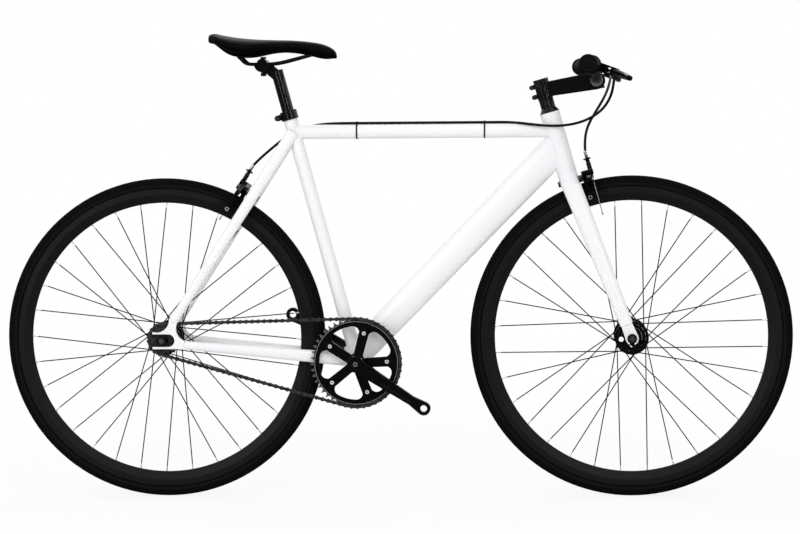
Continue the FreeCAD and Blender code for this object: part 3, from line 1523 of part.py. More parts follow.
def main():
    """Build and write every node."""
    os.makedirs("parts", exist_ok=True)
    wheel("front", front_axle, front_flange_radius, front_flange_offset, front_hub_end,
          front_axle_radius, front_spoke_phase)
    wheel("rear", rear_axle, rear_flange_radius, rear_flange_offset, rear_hub_end,
          rear_axle_radius, rear_spoke_phase)
    axle_set("front_axle", front_axle, front_axle_radius, front_hub_spacing, fork_end_thickness,
             front_hub_end)
    axle_set("rear_axle", rear_axle, rear_axle_radius, rear_hub_spacing, dropout_thickness, rear_hub_end)
    rollers, ring_angle, sprocket_angle = drive_path()
    chain(rollers)
    bolts, ring_face = chain_wheels(ring_angle, sprocket_angle)
    cranks(bolts, ring_face)
    bottom_bracket_parts()
    bridge_place = frame()
    clamp_bolt = seat_clamp()
    crown_bolt_place = fork()
    stem_bolts = cockpit()
    grips()
    lever_ends = brake_levers()
    front_origin = crown_bolt_place + head_ahead * front_brake_offset
    front_bolt, front_end = caliper("front", front_origin, head_ahead, head_down * -1, -1,
                                    front_brake_offset, crown_half_depth - brake_seat_depth, front_axle)
    rear_origin = bridge_place + stay_back * rear_brake_offset
    rear_bolt, rear_end = caliper("rear", rear_origin, stay_back, stay_down * -1, 1,
                                  rear_brake_offset, bridge_radius - brake_seat_depth, rear_axle)
    export("steering_bolts", *(stem_bolts + front_bolt))
    export("frame_bolts", clamp_bolt, *rear_bolt)
    cables(lever_ends, front_end, rear_end)
    saddle()


main()
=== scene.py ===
"""Looks of a white fixed gear bicycle with black parts, in the frame of its CAD model.

Shapes are worked out in millimetres and written in metres. Materials read metres.
"""
import math

import bmesh
import bpy
import numpy as np
from mathutils import Matrix


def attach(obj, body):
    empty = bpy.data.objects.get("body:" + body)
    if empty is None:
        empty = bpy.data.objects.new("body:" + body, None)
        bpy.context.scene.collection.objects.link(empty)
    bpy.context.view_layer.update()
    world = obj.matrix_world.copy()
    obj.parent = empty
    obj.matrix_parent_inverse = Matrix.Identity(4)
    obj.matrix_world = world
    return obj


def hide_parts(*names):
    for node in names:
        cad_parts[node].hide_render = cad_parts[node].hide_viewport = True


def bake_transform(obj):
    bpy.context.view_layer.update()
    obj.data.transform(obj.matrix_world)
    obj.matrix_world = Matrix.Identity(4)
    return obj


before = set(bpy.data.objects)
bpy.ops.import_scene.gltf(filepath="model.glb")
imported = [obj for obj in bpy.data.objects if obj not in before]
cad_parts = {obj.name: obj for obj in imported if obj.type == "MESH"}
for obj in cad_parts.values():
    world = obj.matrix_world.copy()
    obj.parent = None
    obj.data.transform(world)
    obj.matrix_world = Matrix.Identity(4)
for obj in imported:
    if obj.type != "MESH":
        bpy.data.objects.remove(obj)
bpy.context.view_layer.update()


def unit(vector):
    """The vector divided by its length."""
    return vector / np.linalg.norm(vector)


def heading(degrees):
    """Unit vector in the bicycle's middle plane, at an angle above straight ahead."""
    return np.array([math.cos(math.radians(degrees)), 0.0, math.sin(math.radians(degrees))])


MM = 0.001

# Places, directions and sizes that follow the CAD model, in millimetres and degrees.
Y = np.array([0.0, 1.0, 0.0])
FRONT_AXLE = np.array([491.0, 0.0, 338.0])
REAR_AXLE = np.array([-491.0, 0.0, 338.0])
CRANK_AXIS = np.array([-85.91, 0.0, 287.4])
HEAD_BASE = np.array([357.424, 0.0, 682.683])
HEAD_DOWN = heading(-74.25)
HEAD_AHEAD = heading(15.75)
HEAD_TUBE_RADIUS = 20.5
SEAT_UP = heading(105)
SEAT_TUBE_RADIUS = 14.3
TOP_TUBE_HEIGHT = 771.6
TOP_TUBE_RADIUS = 14.75
DOWN_TUBE_HALF_DEPTH = 31.2
DOWN_TUBE_HALF_WIDTH = 17.5
CLUSTER = np.array([-215.651, 0.0, TOP_TUBE_HEIGHT])
STAY_DOWN = unit(REAR_AXLE + np.array([23.0, 0.0, 40.0]) - CLUSTER)
STAY_BACK = np.array([STAY_DOWN[2], 0.0, -STAY_DOWN[0]])
BAR_CENTRE = np.array([419.06, 0.0, 874.22])
BAR_RISE = 32.0
BAR_BACK = 8.0
BAR_SWEEP = 17.4
BAR_BEND = 110.0
BAR_END = 300.0
LEVER_PLACE = 152.0
LEVER_TILT = -20.0
LEVER_REACH = 46.0
LEVER_INSIDE = 15.0
SADDLE_TAIL = -390.0
SADDLE_RAILS = 914.0
FRONT_PIVOT = HEAD_BASE + HEAD_DOWN * 20.0 + HEAD_AHEAD * 41.0
REAR_PIVOT = CLUSTER + STAY_DOWN * 160.0 + STAY_BACK * 31.0
WIRE_SIDE = 29.0
WIRE_AHEAD = 6.75
SLEEVE_FOOT = 40.3
CABLE_LIFT = 2.85
OVER_TUBE = TOP_TUBE_HEIGHT + TOP_TUBE_RADIUS + CABLE_LIFT
PAD_BOLTS = {
    "front_pad_left": (413.73, 634.08),
    "front_pad_right": (405.26, 631.69),
    "rear_pad_left": (-347.38, 607.26),
    "rear_pad_right": (-354.79, 612.01),
}

# Cables are drawn 0.3 mm thicker than the CAD's, because thin dark lines lose weight in a picture.
SLEEVE_RADIUS = 2.8

WHITE_PAINT = (0.83, 0.83, 0.85)


class Value:
    """A socket of a node tree. Operators on it add Math nodes."""

    def __init__(self, tree, socket):
        self.tree = tree
        self.socket = socket

    def math(self, operation, *others):
        inputs = dict(enumerate((self, *others)))
        return self.tree.node("ShaderNodeMath", {"operation": operation}, inputs)

    def __add__(self, other):
        return self.math("ADD", other)

    def __sub__(self, other):
        return self.math("SUBTRACT", other)

    def __rsub__(self, other):
        return self.tree.node("ShaderNodeMath", {"operation": "SUBTRACT"}, {0: other, 1: self})

    def __mul__(self, other):
        return self.math("MULTIPLY", other)

    def __truediv__(self, other):
        return self.math("DIVIDE", other)

    __radd__ = __add__
    __rmul__ = __mul__

    def abs(self):
        return self.math("ABSOLUTE")

    def sin(self):
        return self.math("SINE")

    def root(self):
        return self.math("SQRT")

    def most(self, other):
        return self.math("MAXIMUM", other)

    def step(self, low, high):
        """0 below low, 1 above high, and smooth between them."""
        return self.ramp(low, high, 0.0, 1.0)

    def ramp(self, low, high, first, last):
        """first below low, last above high, and smooth between them."""
        settings = {"interpolation_type": "SMOOTHSTEP"}
        inputs = {"Value": self, 1: low, 2: high, 3: first, 4: last}
        return self.tree.node("ShaderNodeMapRange", settings, inputs, "Result")

    def band(self, low, high, soft):
        """1 between low and high, with soft edges."""
        return self.step(low - soft, low + soft) * (1 - self.step(high - soft, high + soft))


class Tree:
    """A node tree, with one method that adds a node, sets it and links what feeds it."""

    def __init__(self, tree):
        self.tree = tree

    def node(self, kind, settings=None, inputs=None, output=0):
        node = self.tree.nodes.new(kind)
        for key, value in (settings or {}).items():
            setattr(node, key, value)
        for key, value in (inputs or {}).items():
            self.feed(node.inputs[key], value)
        return Value(self, node.outputs[output]) if node.outputs else None

    def feed(self, socket, value):
        if isinstance(value, Value):
            self.tree.links.new(value.socket, socket)
        elif isinstance(value, tuple) and socket.type == "RGBA":
            socket.default_value = (*value, 1.0)
        else:
            socket.default_value = value

    def coords(self, kind):
        return self.node("ShaderNodeTexCoord", None, None, kind)

    def part(self, vector, axis):
        return self.node("ShaderNodeSeparateXYZ", None, {0: vector}, axis)

    def rays(self, kind):
        """1 for light paths of one kind, and 0 for the others."""
        return self.node("ShaderNodeLightPath", None, None, kind)


class Paint(Tree):
    """One material: a Principled shader whose varying inputs come from node expressions."""

    def __init__(self, name, specular=0.5, metallic=0.0, coat=0.0):
        self.material = bpy.data.materials.new(name)
        self.material.use_nodes = True
        super().__init__(self.material.node_tree)
        self.shader = self.tree.nodes["Principled BSDF"]
        self.set("Specular IOR Level", specular)
        self.set("Metallic", metallic)
        self.set("Coat Weight", coat)
        self.set("Coat Roughness", 0.14)

    def set(self, socket, value):
        self.feed(self.shader.inputs[socket], value)

    def place(self):
        return self.coords("Object")

    def noise(self, scale, detail=2.0, rough=0.5, vector=None):
        inputs = {"Vector": vector or self.place(), "Scale": scale, "Detail": detail, "Roughness": rough}
        return self.node("ShaderNodeTexNoise", None, inputs, "Fac")

    def stretched(self, factors, turn=(0.0, 0.0, 0.0)):
        """Object coordinates scaled differently along each axis."""
        inputs = {"Vector": self.place(), "Rotation": turn, "Scale": factors}
        return self.node("ShaderNodeMapping", None, inputs, "Vector")

    def cells(self, scale, feature="F1"):
        inputs = {"Vector": self.place(), "Scale": scale}
        return self.node("ShaderNodeTexVoronoi", {"feature": feature}, inputs, "Distance")

    def mix(self, factor, first, second):
        return self.node("ShaderNodeMix", {"data_type": "RGBA"}, {0: factor, 6: first, 7: second}, 2)

    def relief(self, height, strength, distance, edge=0.0):
        """Bump from a height, over edges rounded by a small radius."""
        inputs = {"Height": height, "Strength": strength, "Distance": distance}
        if edge:
            inputs["Normal"] = self.node("ShaderNodeBevel", {"samples": 4}, {"Radius": edge}, "Normal")
        self.set("Normal", self.node("ShaderNodeBump", None, inputs, "Normal"))

    def from_axle(self, axle):
        """Distance from an axis that runs across the bicycle, and its two parts, ahead and up."""
        ahead = self.part(self.place(), "X") - float(axle[0] * MM)
        up = self.part(self.place(), "Z") - float(axle[2] * MM)
        return (ahead * ahead + up * up).root(), ahead, up

    def sideways(self):
        """Distance to the left of the bicycle's middle plane."""
        return self.part(self.place(), "Y")


def frame_white():
    """Gloss white paint with a faint orange peel and a little dust where it is rough."""
    paint = Paint("frame_white", coat=0.12)
    dust = paint.noise(14.0, 4.0, 0.6).step(0.45, 0.75)
    paint.set("Base Color", paint.mix(dust * 0.5, WHITE_PAINT, (0.79, 0.79, 0.815)))
    paint.set("Roughness", 0.30 + 0.10 * dust)
    paint.relief(paint.noise(420.0, 1.0), 0.012, 0.0002)
    return paint.material


def dropout_white():
    """Frame paint, with dark steel in the slot where the axle is clamped."""
    paint = Paint("dropout_white", coat=0.12)
    distance, ahead, up = paint.from_axle(REAR_AXLE + np.array([12.6, 0, 0]))
    inside = 1 - distance.step(0.0131, 0.0134)
    behind = (1 - ahead.step(-0.0002, 0.0002)) * (1 - up.abs().step(0.0131, 0.0134))
    steel = inside.most(behind)
    scratch = paint.noise(60.0, 4.0, 0.6, paint.stretched((1.0, 1.0, 14.0)))
    dark = paint.mix(scratch.step(0.42, 0.62), (0.004, 0.004, 0.004), (0.060, 0.054, 0.048))
    paint.set("Base Color", paint.mix(steel, WHITE_PAINT, dark))
    paint.set("Metallic", steel * 0.8)
    paint.set("Roughness", 0.3 + 0.12 * scratch)
    paint.relief(paint.noise(420.0, 1.0), 0.012, 0.0002, 0.0005)
    return paint.material


def black_alloy(name, rough, specular, edge):
    """Anodised aluminium: nearly black, a fine blasted grain, and bare metal hints on wear."""
    paint = Paint(name, specular)
    grain = paint.noise(900.0, 2.0)
    wear = paint.noise(38.0, 5.0, 0.65).step(0.62, 0.78)
    paint.set("Base Color", paint.mix(wear * 0.35, (0.0012, 0.0012, 0.0014), (0.006, 0.006, 0.0065)))
    paint.set("Roughness", rough - 0.05 + 0.10 * grain + 0.06 * wear)
    paint.relief(grain, 0.10, 0.0001, edge)
    return paint.material


def bar_black():
    """Black handlebar with a grey painted reflection on its bulge beside the stem, and fine lines round it.
    """
    paint = Paint("bar_black")
    side = paint.sideways()
    bulge = 1 - side.abs().step(0.030, 0.065)
    lines = (side * 5200.0).sin()
    wear = paint.noise(60.0, 4.0, 0.6)
    # Painted reflection: the bulge is coloured grey, and the wear noise varies that grey as well as the
    # roughness.
    grey = paint.mix(wear, (0.20, 0.195, 0.21), (0.12, 0.118, 0.128))
    paint.set("Base Color", paint.mix(bulge, (0.003, 0.003, 0.0034), grey))
    paint.set("Roughness", 0.26 + 0.12 * wear)
    paint.relief(lines * bulge * 0.4 + wear * 0.4, 0.1, 0.0001, 0.0009)
    return paint.material


def hub_black(name, axle):
    """Gloss black hub: turned ridges on its flanges, with painted highlight arcs on one side of them."""
    paint = Paint(name, 0.3)
    distance, ahead, up = paint.from_axle(axle)
    ridge = distance.band(0.0211, 0.0218, 0.0004).most(distance.band(0.0291, 0.0298, 0.0004))
    grain = paint.noise(300.0, 2.0)
    # Painted highlight: within an angle round the axle, ahead and a little up, the ridges are coloured
    # light grey.
    painted_highlight_side = (up.math("ARCTAN2", ahead) - 0.5).math("COSINE").step(0.55, 0.98)
    base = paint.mix(grain * 0.4, (0.0010, 0.0010, 0.0012), (0.003, 0.003, 0.0032))
    paint.set("Base Color", paint.mix(ridge * painted_highlight_side, base, (0.30, 0.30, 0.31)))
    paint.set("Roughness", 0.10 + 0.10 * grain)
    paint.relief(ridge + grain * 0.04, 0.6, 0.0006, 0.0008)
    return paint.material


def rim_black(name, axle):
    """Satin black rim: turned lines on the brake track, and a smoother tapered wall."""
    paint = Paint(name, 0.14)
    distance = paint.from_axle(axle)[0]
    track = distance.band(0.3035, 0.3160, 0.0006)
    lines = (distance * 9000.0).sin()
    grain = paint.noise(700.0, 2.0)
    smear = paint.noise(26.0, 4.0, 0.6)
    groove = distance.step(0.3150, 0.3158)
    worn = track * (0.35 + 0.4 * smear)
    base = paint.mix(worn, (0.0062, 0.0064, 0.0069), (0.0088, 0.0089, 0.0095))
    paint.set("Base Color", paint.mix(groove, base, (0.0002, 0.0002, 0.0002)))
    paint.set("Roughness", 0.40 + 0.08 * smear - 0.08 * track)
    paint.relief(grain * 0.5 + lines * track * 0.5, 0.12, 0.0001, 0.0006)
    return paint.material


def tyre_black(name, axle):
    """Road tyre: a smooth crown with fine slanted file marks on its shoulders, and ringed walls."""
    paint = Paint(name, 0.03)
    distance, ahead, up = paint.from_axle(axle)
    angle = up.math("ARCTAN2", ahead)
    side = paint.sideways().abs()
    slant = (angle * 330.0 + side * 1500.0).sin()
    cross = (angle * 330.0 - side * 1500.0).sin()
    shoulder = side.band(0.0030, 0.0095, 0.0006) * distance.step(0.328, 0.3295)
    wall = distance.band(0.3185, 0.3235, 0.0008)
    rings = (distance * 4200.0).sin() * wall
    dust = paint.noise(30.0, 5.0, 0.65)
    crown = distance.step(0.3365, 0.3378)
    worn = paint.mix(crown * (0.3 + 0.5 * dust), (0.0030, 0.0034, 0.0035), (0.0055, 0.0057, 0.0057))
    paint.set("Base Color", paint.mix(wall * (0.4 + 0.6 * dust), worn, (0.0068, 0.0073, 0.0075)))
    paint.set("Roughness", 0.70 + 0.16 * dust)
    marks = (slant * cross).step(0.1, 0.5) * shoulder
    paint.relief(rings * 0.25 - marks * 0.8 + paint.noise(1500.0, 1.0) * 0.25, 0.45, 0.0004)
    return paint.material


def browned_steel():
    """Oiled chain steel: browned plates, darker and wetter in the grease."""
    paint = Paint("browned_steel", metallic=0.35)
    grease = paint.noise(160.0, 4.0, 0.65).step(0.42, 0.70)
    patch = paint.noise(45.0, 3.0)
    base = paint.mix(patch, (0.070, 0.063, 0.054), (0.020, 0.018, 0.0155))
    paint.set("Base Color", paint.mix(grease, base, (0.0040, 0.0036, 0.0032)))
    paint.set("Roughness", 0.36 - 0.14 * grease + 0.1 * patch)
    paint.relief(paint.noise(1200.0, 2.0), 0.15, 0.0001, 0.0003)
    return paint.material


def bright_steel(name, tone, rough):
    """Plated steel with turned marks and a little dirt."""
    paint = Paint(name, metallic=1.0)
    dirt = paint.noise(110.0, 4.0, 0.6).step(0.55, 0.8)
    clean = (tone, tone, tone * 1.02)
    paint.set("Base Color", paint.mix(dirt * 0.6, clean, (tone * 0.35, tone * 0.33, tone * 0.31)))
    paint.set("Roughness", rough + 0.2 * dirt)
    paint.relief(paint.noise(800.0, 2.0), 0.1, 0.0001, 0.0003)
    return paint.material


def blacked(paint):
    """Colour of blacked steel, a little bare where it rubs, and how much it is rubbed."""
    rub = paint.noise(70.0, 3.0, 0.6).step(0.60, 0.8)
    return paint.mix(rub * 0.4, (0.003, 0.003, 0.0033), (0.022, 0.021, 0.020)), rub


def black_steel():
    """Blacked steel wire and fittings."""
    paint = Paint("black_steel", 0.15, 0.1)
    colour, rub = blacked(paint)
    paint.set("Base Color", colour)
    paint.set("Roughness", 0.33 + 0.12 * rub)
    paint.relief(paint.noise(1000.0, 1.0), 0.08, 0.0001, 0.0003)
    return paint.material


def spoke_black(name, axle):
    """Blacked spoke wire, ending in a plated nipple near the rim."""
    paint = Paint(name, 0.15)
    nipple = paint.from_axle(axle)[0].step(0.2745, 0.2760)
    wire, rub = blacked(paint)
    paint.set("Base Color", paint.mix(nipple, wire, (0.86, 0.86, 0.87)))
    paint.set("Metallic", 0.1 + 0.75 * nipple)
    paint.set("Roughness", 0.3 + 0.12 * rub)
    paint.relief(paint.noise(1000.0, 1.0), 0.08, 0.0001)
    return paint.material


def axle_steel(name, axle):
    """Blacked axle nuts with a painted highlight ring on them, round a bare threaded axle end."""
    paint = Paint(name, 0.2)
    distance = paint.from_axle(axle)[0]
    bare = 1 - distance.step(0.0046, 0.0049)
    dirt = paint.noise(180.0, 4.0, 0.6)
    thread = (paint.sideways() * 6283.0).sin()
    # Painted highlight: a lighter ring coloured onto the nut's face.
    edge = distance.band(0.0062, 0.0070, 0.0003)
    nut = paint.mix(edge, (0.004, 0.004, 0.0045), (0.06, 0.06, 0.06))
    end = paint.mix(dirt, (0.26, 0.26, 0.25), (0.10, 0.10, 0.096))
    paint.set("Base Color", paint.mix(bare, nut, end))
    paint.set("Metallic", 0.3 + 0.7 * bare)
    paint.set("Roughness", 0.26 + 0.2 * dirt)
    paint.relief(thread * bare * 0.5 + dirt * 0.3, 0.2, 0.0002, 0.0005)
    return paint.material


def pad_rubber(name, bolt_x, bolt_z):
    """Moulded brake block with a grey bloom, and a plated bolt head with a socket outside the arm."""
    paint = Paint(name, 0.10)
    distance = paint.from_axle((bolt_x, 0.0, bolt_z))[0]
    bolt = paint.sideways().abs().step(0.0330, 0.0333) * distance.step(0.0021, 0.0024)
    bloom = paint.noise(48.0, 4.0, 0.6)
    block = paint.mix(bloom * 0.6, (0.0035, 0.0035, 0.0037), (0.007, 0.007, 0.0072))
    paint.set("Base Color", paint.mix(bolt, block, (0.62, 0.61, 0.60)))
    paint.set("Metallic", bolt)
    paint.set("Roughness", 0.66 + 0.14 * bloom - 0.40 * bolt)
    paint.relief(paint.noise(900.0, 2.0), 0.2, 0.0002, 0.0005)
    return paint.material


def black_rubber(name, tone, rough, pitting):
    """Moulded rubber or plastic: fine pitting and a grey bloom."""
    paint = Paint(name, 0.10)
    bloom = paint.noise(48.0, 4.0, 0.6)
    clean = (tone, tone, tone * 1.05)
    paint.set("Base Color", paint.mix(bloom * 0.6, clean, (tone * 2.0, tone * 2.0, tone * 2.05)))
    paint.set("Roughness", rough - 0.08 + 0.18 * bloom)
    paint.relief(paint.noise(pitting, 2.0), 0.25, 0.0002, 0.0005)
    return paint.material


def cable_black():
    """Smooth plastic cable sleeve, with faint scuffs."""
    paint = Paint("cable_black", 0.16)
    scuff = paint.noise(90.0, 4.0, 0.65)
    paint.set("Base Color", paint.mix(scuff * 0.4, (0.0012, 0.0012, 0.0014), (0.004, 0.004, 0.0042)))
    paint.set("Roughness", 0.28 + 0.2 * scuff)
    paint.relief(paint.noise(1300.0, 1.0), 0.08, 0.0001)
    return paint.material


def saddle_black():
    """Grained vinyl over foam: pebbled cells, creases, and a stitched seam along each side."""
    paint = Paint("saddle_black", 0.05)
    pebble = paint.cells(950.0)
    crease = paint.cells(420.0, "DISTANCE_TO_EDGE").step(0.0, 0.12)
    sheen = paint.noise(22.0, 3.0, 0.5)
    uv = paint.coords("UV")
    along = paint.part(uv, "X")
    seam = (paint.part(uv, "Y") - 0.5).abs()
    line = seam.band(0.3475, 0.3505, 0.0008)
    stitch = seam.band(0.3365, 0.3395, 0.0008) * (along * 330.0).sin().step(-0.1, 0.25)
    base = paint.mix(crease * 0.5, (0.0010, 0.0010, 0.0011), (0.0005, 0.0005, 0.0005))
    paint.set("Base Color", paint.mix(stitch, base, (0.008, 0.008, 0.0085)))
    paint.set("Roughness", 0.34 + 0.14 * sheen - 0.08 * stitch)
    paint.relief(pebble * 0.5 + crease * 0.4 - line * 2.0 + stitch * 1.2, 0.35, 0.0004)
    return paint.material


def crank_black():
    """Gloss black crank, a little polished along its length."""
    paint = Paint("crank_black", 0.25)
    grain = paint.noise(160.0, 3.0, 0.6, paint.stretched((1.0, 1.0, 6.0), (0.0, 0.58, 0.0)))
    paint.set("Base Color", paint.mix(grain * 0.5, (0.0010, 0.0010, 0.0012), (0.003, 0.003, 0.0032)))
    paint.set("Roughness", 0.14 + 0.12 * grain)
    paint.relief(grain, 0.06, 0.0001, 0.0018)
    return paint.material


def chainring_black():
    """Black chainring: a bright machined step round its rim, and chain rub on the teeth."""
    paint = Paint("chainring_black", 0.2)
    distance = paint.from_axle(CRANK_AXIS)[0]
    step = distance.band(0.0868, 0.0874, 0.00025)
    teeth = distance.step(0.0893, 0.0905)
    rub = paint.noise(240.0, 4.0, 0.65)
    turned_lines = (distance * 12000.0).sin()
    bright = step.most(teeth * rub * 0.5)
    paint.set("Base Color", paint.mix(bright, (0.0011, 0.0011, 0.0013), (0.40, 0.39, 0.38)))
    paint.set("Roughness", 0.20 + 0.14 * rub)
    paint.relief(turned_lines * 0.4 + rub * 0.4, 0.08, 0.0001, 0.0006)
    return paint.material


def ring_bolts():
    """Dark bolt heads, each with a painted highlight ring round its socket, folded five times round the
    crank.
    """
    paint = Paint("ring_bolt_steel", 0.3)
    distance, ahead, up = paint.from_axle(CRANK_AXIS)
    bolt_circle = 0.065
    fifth = math.radians(72.0)
    turns = (up.math("ARCTAN2", ahead) - math.radians(2.8)) / fifth
    fold = (turns - turns.math("ROUND")) * fifth
    across = distance * fold.sin()
    outward_by = distance * fold.math("COSINE") - bolt_circle
    from_bolt = (across * across + outward_by * outward_by).root()
    middle = 1 - distance.step(0.0068, 0.0070)
    # Painted highlights: a near-white ring round each bolt's socket, and a dimmer one round the crank's
    # middle bolt.
    crank_painted_highlight_ring = middle * 0.35 * distance.band(0.0028, 0.0044, 0.0002)
    rings = from_bolt.band(0.0016, 0.0040, 0.0002).most(crank_painted_highlight_ring)
    wear = paint.noise(500.0, 3.0, 0.6)
    paint.set("Base Color", paint.mix(rings, (0.004, 0.004, 0.0045), (0.80, 0.79, 0.78)))
    paint.set("Metallic", 0.3 * rings)
    paint.set("Roughness", 0.24 + 0.2 * wear)
    paint.relief(rings * 0.6 + wear * 0.2, 0.3, 0.0003, 0.0004)
    return paint.material


def sheet_faces(rows, columns, first, ring):
    """Quads of a grid whose columns close on themselves, and whose rows do too in a ring."""
    row = np.arange(rows if ring else rows - 1)[:, None]
    here = np.arange(columns)[None, :]
    after = (here + 1) % columns
    low = row * columns
    high = (row + 1) % rows * columns
    quads = np.stack([low + here, low + after, high + after, high + here], axis=-1)
    return (quads.reshape(-1, 4) + first).tolist()


def piece(name, grids, material, body, uv=False, ring=False):
    """A mesh of closed tubes. Each grid holds rings of points in millimetres.

    The tubes are capped at both ends, or joined end to end where ring is set.
    """
    points = []
    faces = []
    first = 0
    for grid in grids:
        rows, columns = grid.shape[:2]
        points.append(grid.reshape(-1, 3))
        faces.extend(sheet_faces(rows, columns, first, ring))
        if not ring:
            faces.append(list(range(first + columns - 1, first - 1, -1)))
            last = first + (rows - 1) * columns
            faces.append(list(range(last, last + columns)))
        first += rows * columns
    mesh = bpy.data.meshes.new(name)
    mesh.from_pydata((np.concatenate(points) * MM).tolist(), [], faces)
    mesh.update()
    if uv:
        add_uv(mesh, grids)
    made = bpy.data.objects.new(name, mesh)
    bpy.context.scene.collection.objects.link(made)
    outward(mesh)
    mesh.polygons.foreach_set("use_smooth", [True] * len(mesh.polygons))
    mesh.materials.append(material)
    if body:
        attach(made, body)
    return made


def outward(mesh):
    """Turn all the faces of closed shells outwards."""
    work = bmesh.new()
    work.from_mesh(mesh)
    bmesh.ops.recalc_face_normals(work, faces=work.faces)
    work.to_mesh(mesh)
    work.free()


def add_uv(mesh, grids):
    """A UV map with each ring's share of the length, and the share of the way round."""
    values = []
    for grid in grids:
        rows, columns = grid.shape[:2]
        along, around = np.meshgrid(np.linspace(0, 1, rows), np.arange(columns) / columns, indexing="ij")
        values.append(np.stack([along, around], axis=-1).reshape(-1, 2))
    values = np.concatenate(values)
    loops = np.zeros(len(mesh.loops), dtype=np.int32)
    mesh.loops.foreach_get("vertex_index", loops)
    layer = mesh.uv_layers.new(name="UVMap")
    layer.data.foreach_set("uv", values[loops].astype(np.float32).ravel())


def smooth_route(points, count):
    """A cubic B-spline that starts and ends at the first and last points, at even steps."""
    points = np.asarray(points, float)
    control = np.concatenate([[points[0]] * 2, points, [points[-1]] * 2])
    spans = len(control) - 3
    place = np.linspace(0, spans - 1e-9, count)
    index = place.astype(int)
    t = (place - index)[:, None]
    weights = [(1 - t) ** 3, 3 * t ** 3 - 6 * t ** 2 + 4, -3 * t ** 3 + 3 * t ** 2 + 3 * t + 1, t ** 3]
    return sum(weight * control[index + i] for i, weight in enumerate(weights)) / 6


def through(points, steps):
    """A smooth curve through all the points.

    Each span is a cubic whose end slopes come from the neighbouring points.
    """
    points = np.asarray(points, float)
    chord = np.concatenate([[0.0], np.cumsum(np.linalg.norm(np.diff(points, axis=0), axis=1))])
    slope = np.gradient(points, chord, axis=0)
    t = np.linspace(0, 1, steps, endpoint=False)[None, :, None]
    gap = np.diff(chord)[:, None, None]
    start, end = points[:-1, None], points[1:, None]
    first, second = slope[:-1, None] * gap, slope[1:, None] * gap
    curve = ((2 * t ** 3 - 3 * t ** 2 + 1) * start + (t ** 3 - 2 * t ** 2 + t) * first
             + (3 * t ** 2 - 2 * t ** 3) * end + (t ** 3 - t ** 2) * second)
    return np.concatenate([curve.reshape(-1, points.shape[1]), points[-1:]])


def carried(path, profile, scale=None, reference=(0.0, 0.0, 1.0)):
    """A profile of (side, up) points carried square to a path: path + side * across + up * over."""
    tangent = np.gradient(path, axis=0)
    tangent /= np.linalg.norm(tangent, axis=1, keepdims=True)
    across = np.cross(tangent, np.asarray(reference, float))
    across /= np.linalg.norm(across, axis=1, keepdims=True)
    over = np.cross(across, tangent)
    size = np.ones((len(path), 2)) if scale is None else scale
    side = profile[None, :, 0, None] * size[:, None, 0:1] * across[:, None, :]
    up = profile[None, :, 1, None] * size[:, None, 1:2] * over[:, None, :]
    return path[:, None, :] + side + up


def circle(radius, count):
    """Points round a circle: the radius times the cosine and the sine of even angles."""
    angle = np.linspace(0, 2 * np.pi, count, endpoint=False)
    return radius * np.stack([np.cos(angle), np.sin(angle)], axis=-1)


def squircle(count, power):
    """A rounded square of half width 1: |x|^power + |y|^power = 1."""
    angle = np.linspace(0, 2 * np.pi, count, endpoint=False)
    c, s = np.cos(angle), np.sin(angle)
    size = (np.abs(c) ** power + np.abs(s) ** power) ** (-1 / power)
    return np.stack([c * size, s * size], axis=-1)


def turned(start, direction, stations, count):
    """Rings of (distance along, radius) stations round a line."""
    stations = np.asarray(stations, float)
    direction = unit(direction)
    helper = np.array([0.0, 0.0, 1.0]) if abs(direction[2]) < 0.9 else np.array([1.0, 0.0, 0.0])
    across = unit(np.cross(direction, helper))
    over = np.cross(direction, across)
    angle = np.linspace(0, 2 * np.pi, count, endpoint=False)
    ring = np.cos(angle)[:, None] * across + np.sin(angle)[:, None] * over
    centre = start + stations[:, :1] * direction
    return centre[:, None, :] + stations[:, 1][:, None, None] * ring[None]


def bar_point(y):
    """Middle of the bar's straight end, which sweeps evenly back from its bend to its tip."""
    back = BAR_BACK + BAR_SWEEP * (abs(y) - BAR_BEND) / (BAR_END - BAR_BEND)
    return BAR_CENTRE + np.array([-back, y, BAR_RISE])


def lever_axes(hand):
    """The bracket's place on the bar, the way ahead to the lever, and the way out along the bar."""
    out = unit(bar_point(hand * BAR_END) - bar_point(hand * BAR_BEND))
    ahead = heading(LEVER_TILT)
    ahead = unit(ahead - out * ahead.dot(out))
    return bar_point(hand * LEVER_PLACE), ahead, out


def lever_end(hand):
    """Where a cable leaves its lever bracket, and the way it sets out."""
    origin, ahead, out = lever_axes(hand)
    return origin + ahead * LEVER_REACH - out * LEVER_INSIDE, -out


def wire_line(side):
    """A point beside the caliper's pivot, level with the brake wire, and the ways up and ahead."""
    if side == "front":
        return FRONT_PIVOT - Y * WIRE_SIDE, -HEAD_DOWN, HEAD_AHEAD
    return REAR_PIVOT + Y * WIRE_SIDE, -STAY_DOWN, STAY_BACK


def sleeve_end(side):
    """Where a cable's sleeve ends above its caliper, and the way up."""
    place, up, ahead = wire_line(side)
    return place + ahead * WIRE_AHEAD + up * SLEEVE_FOOT, up


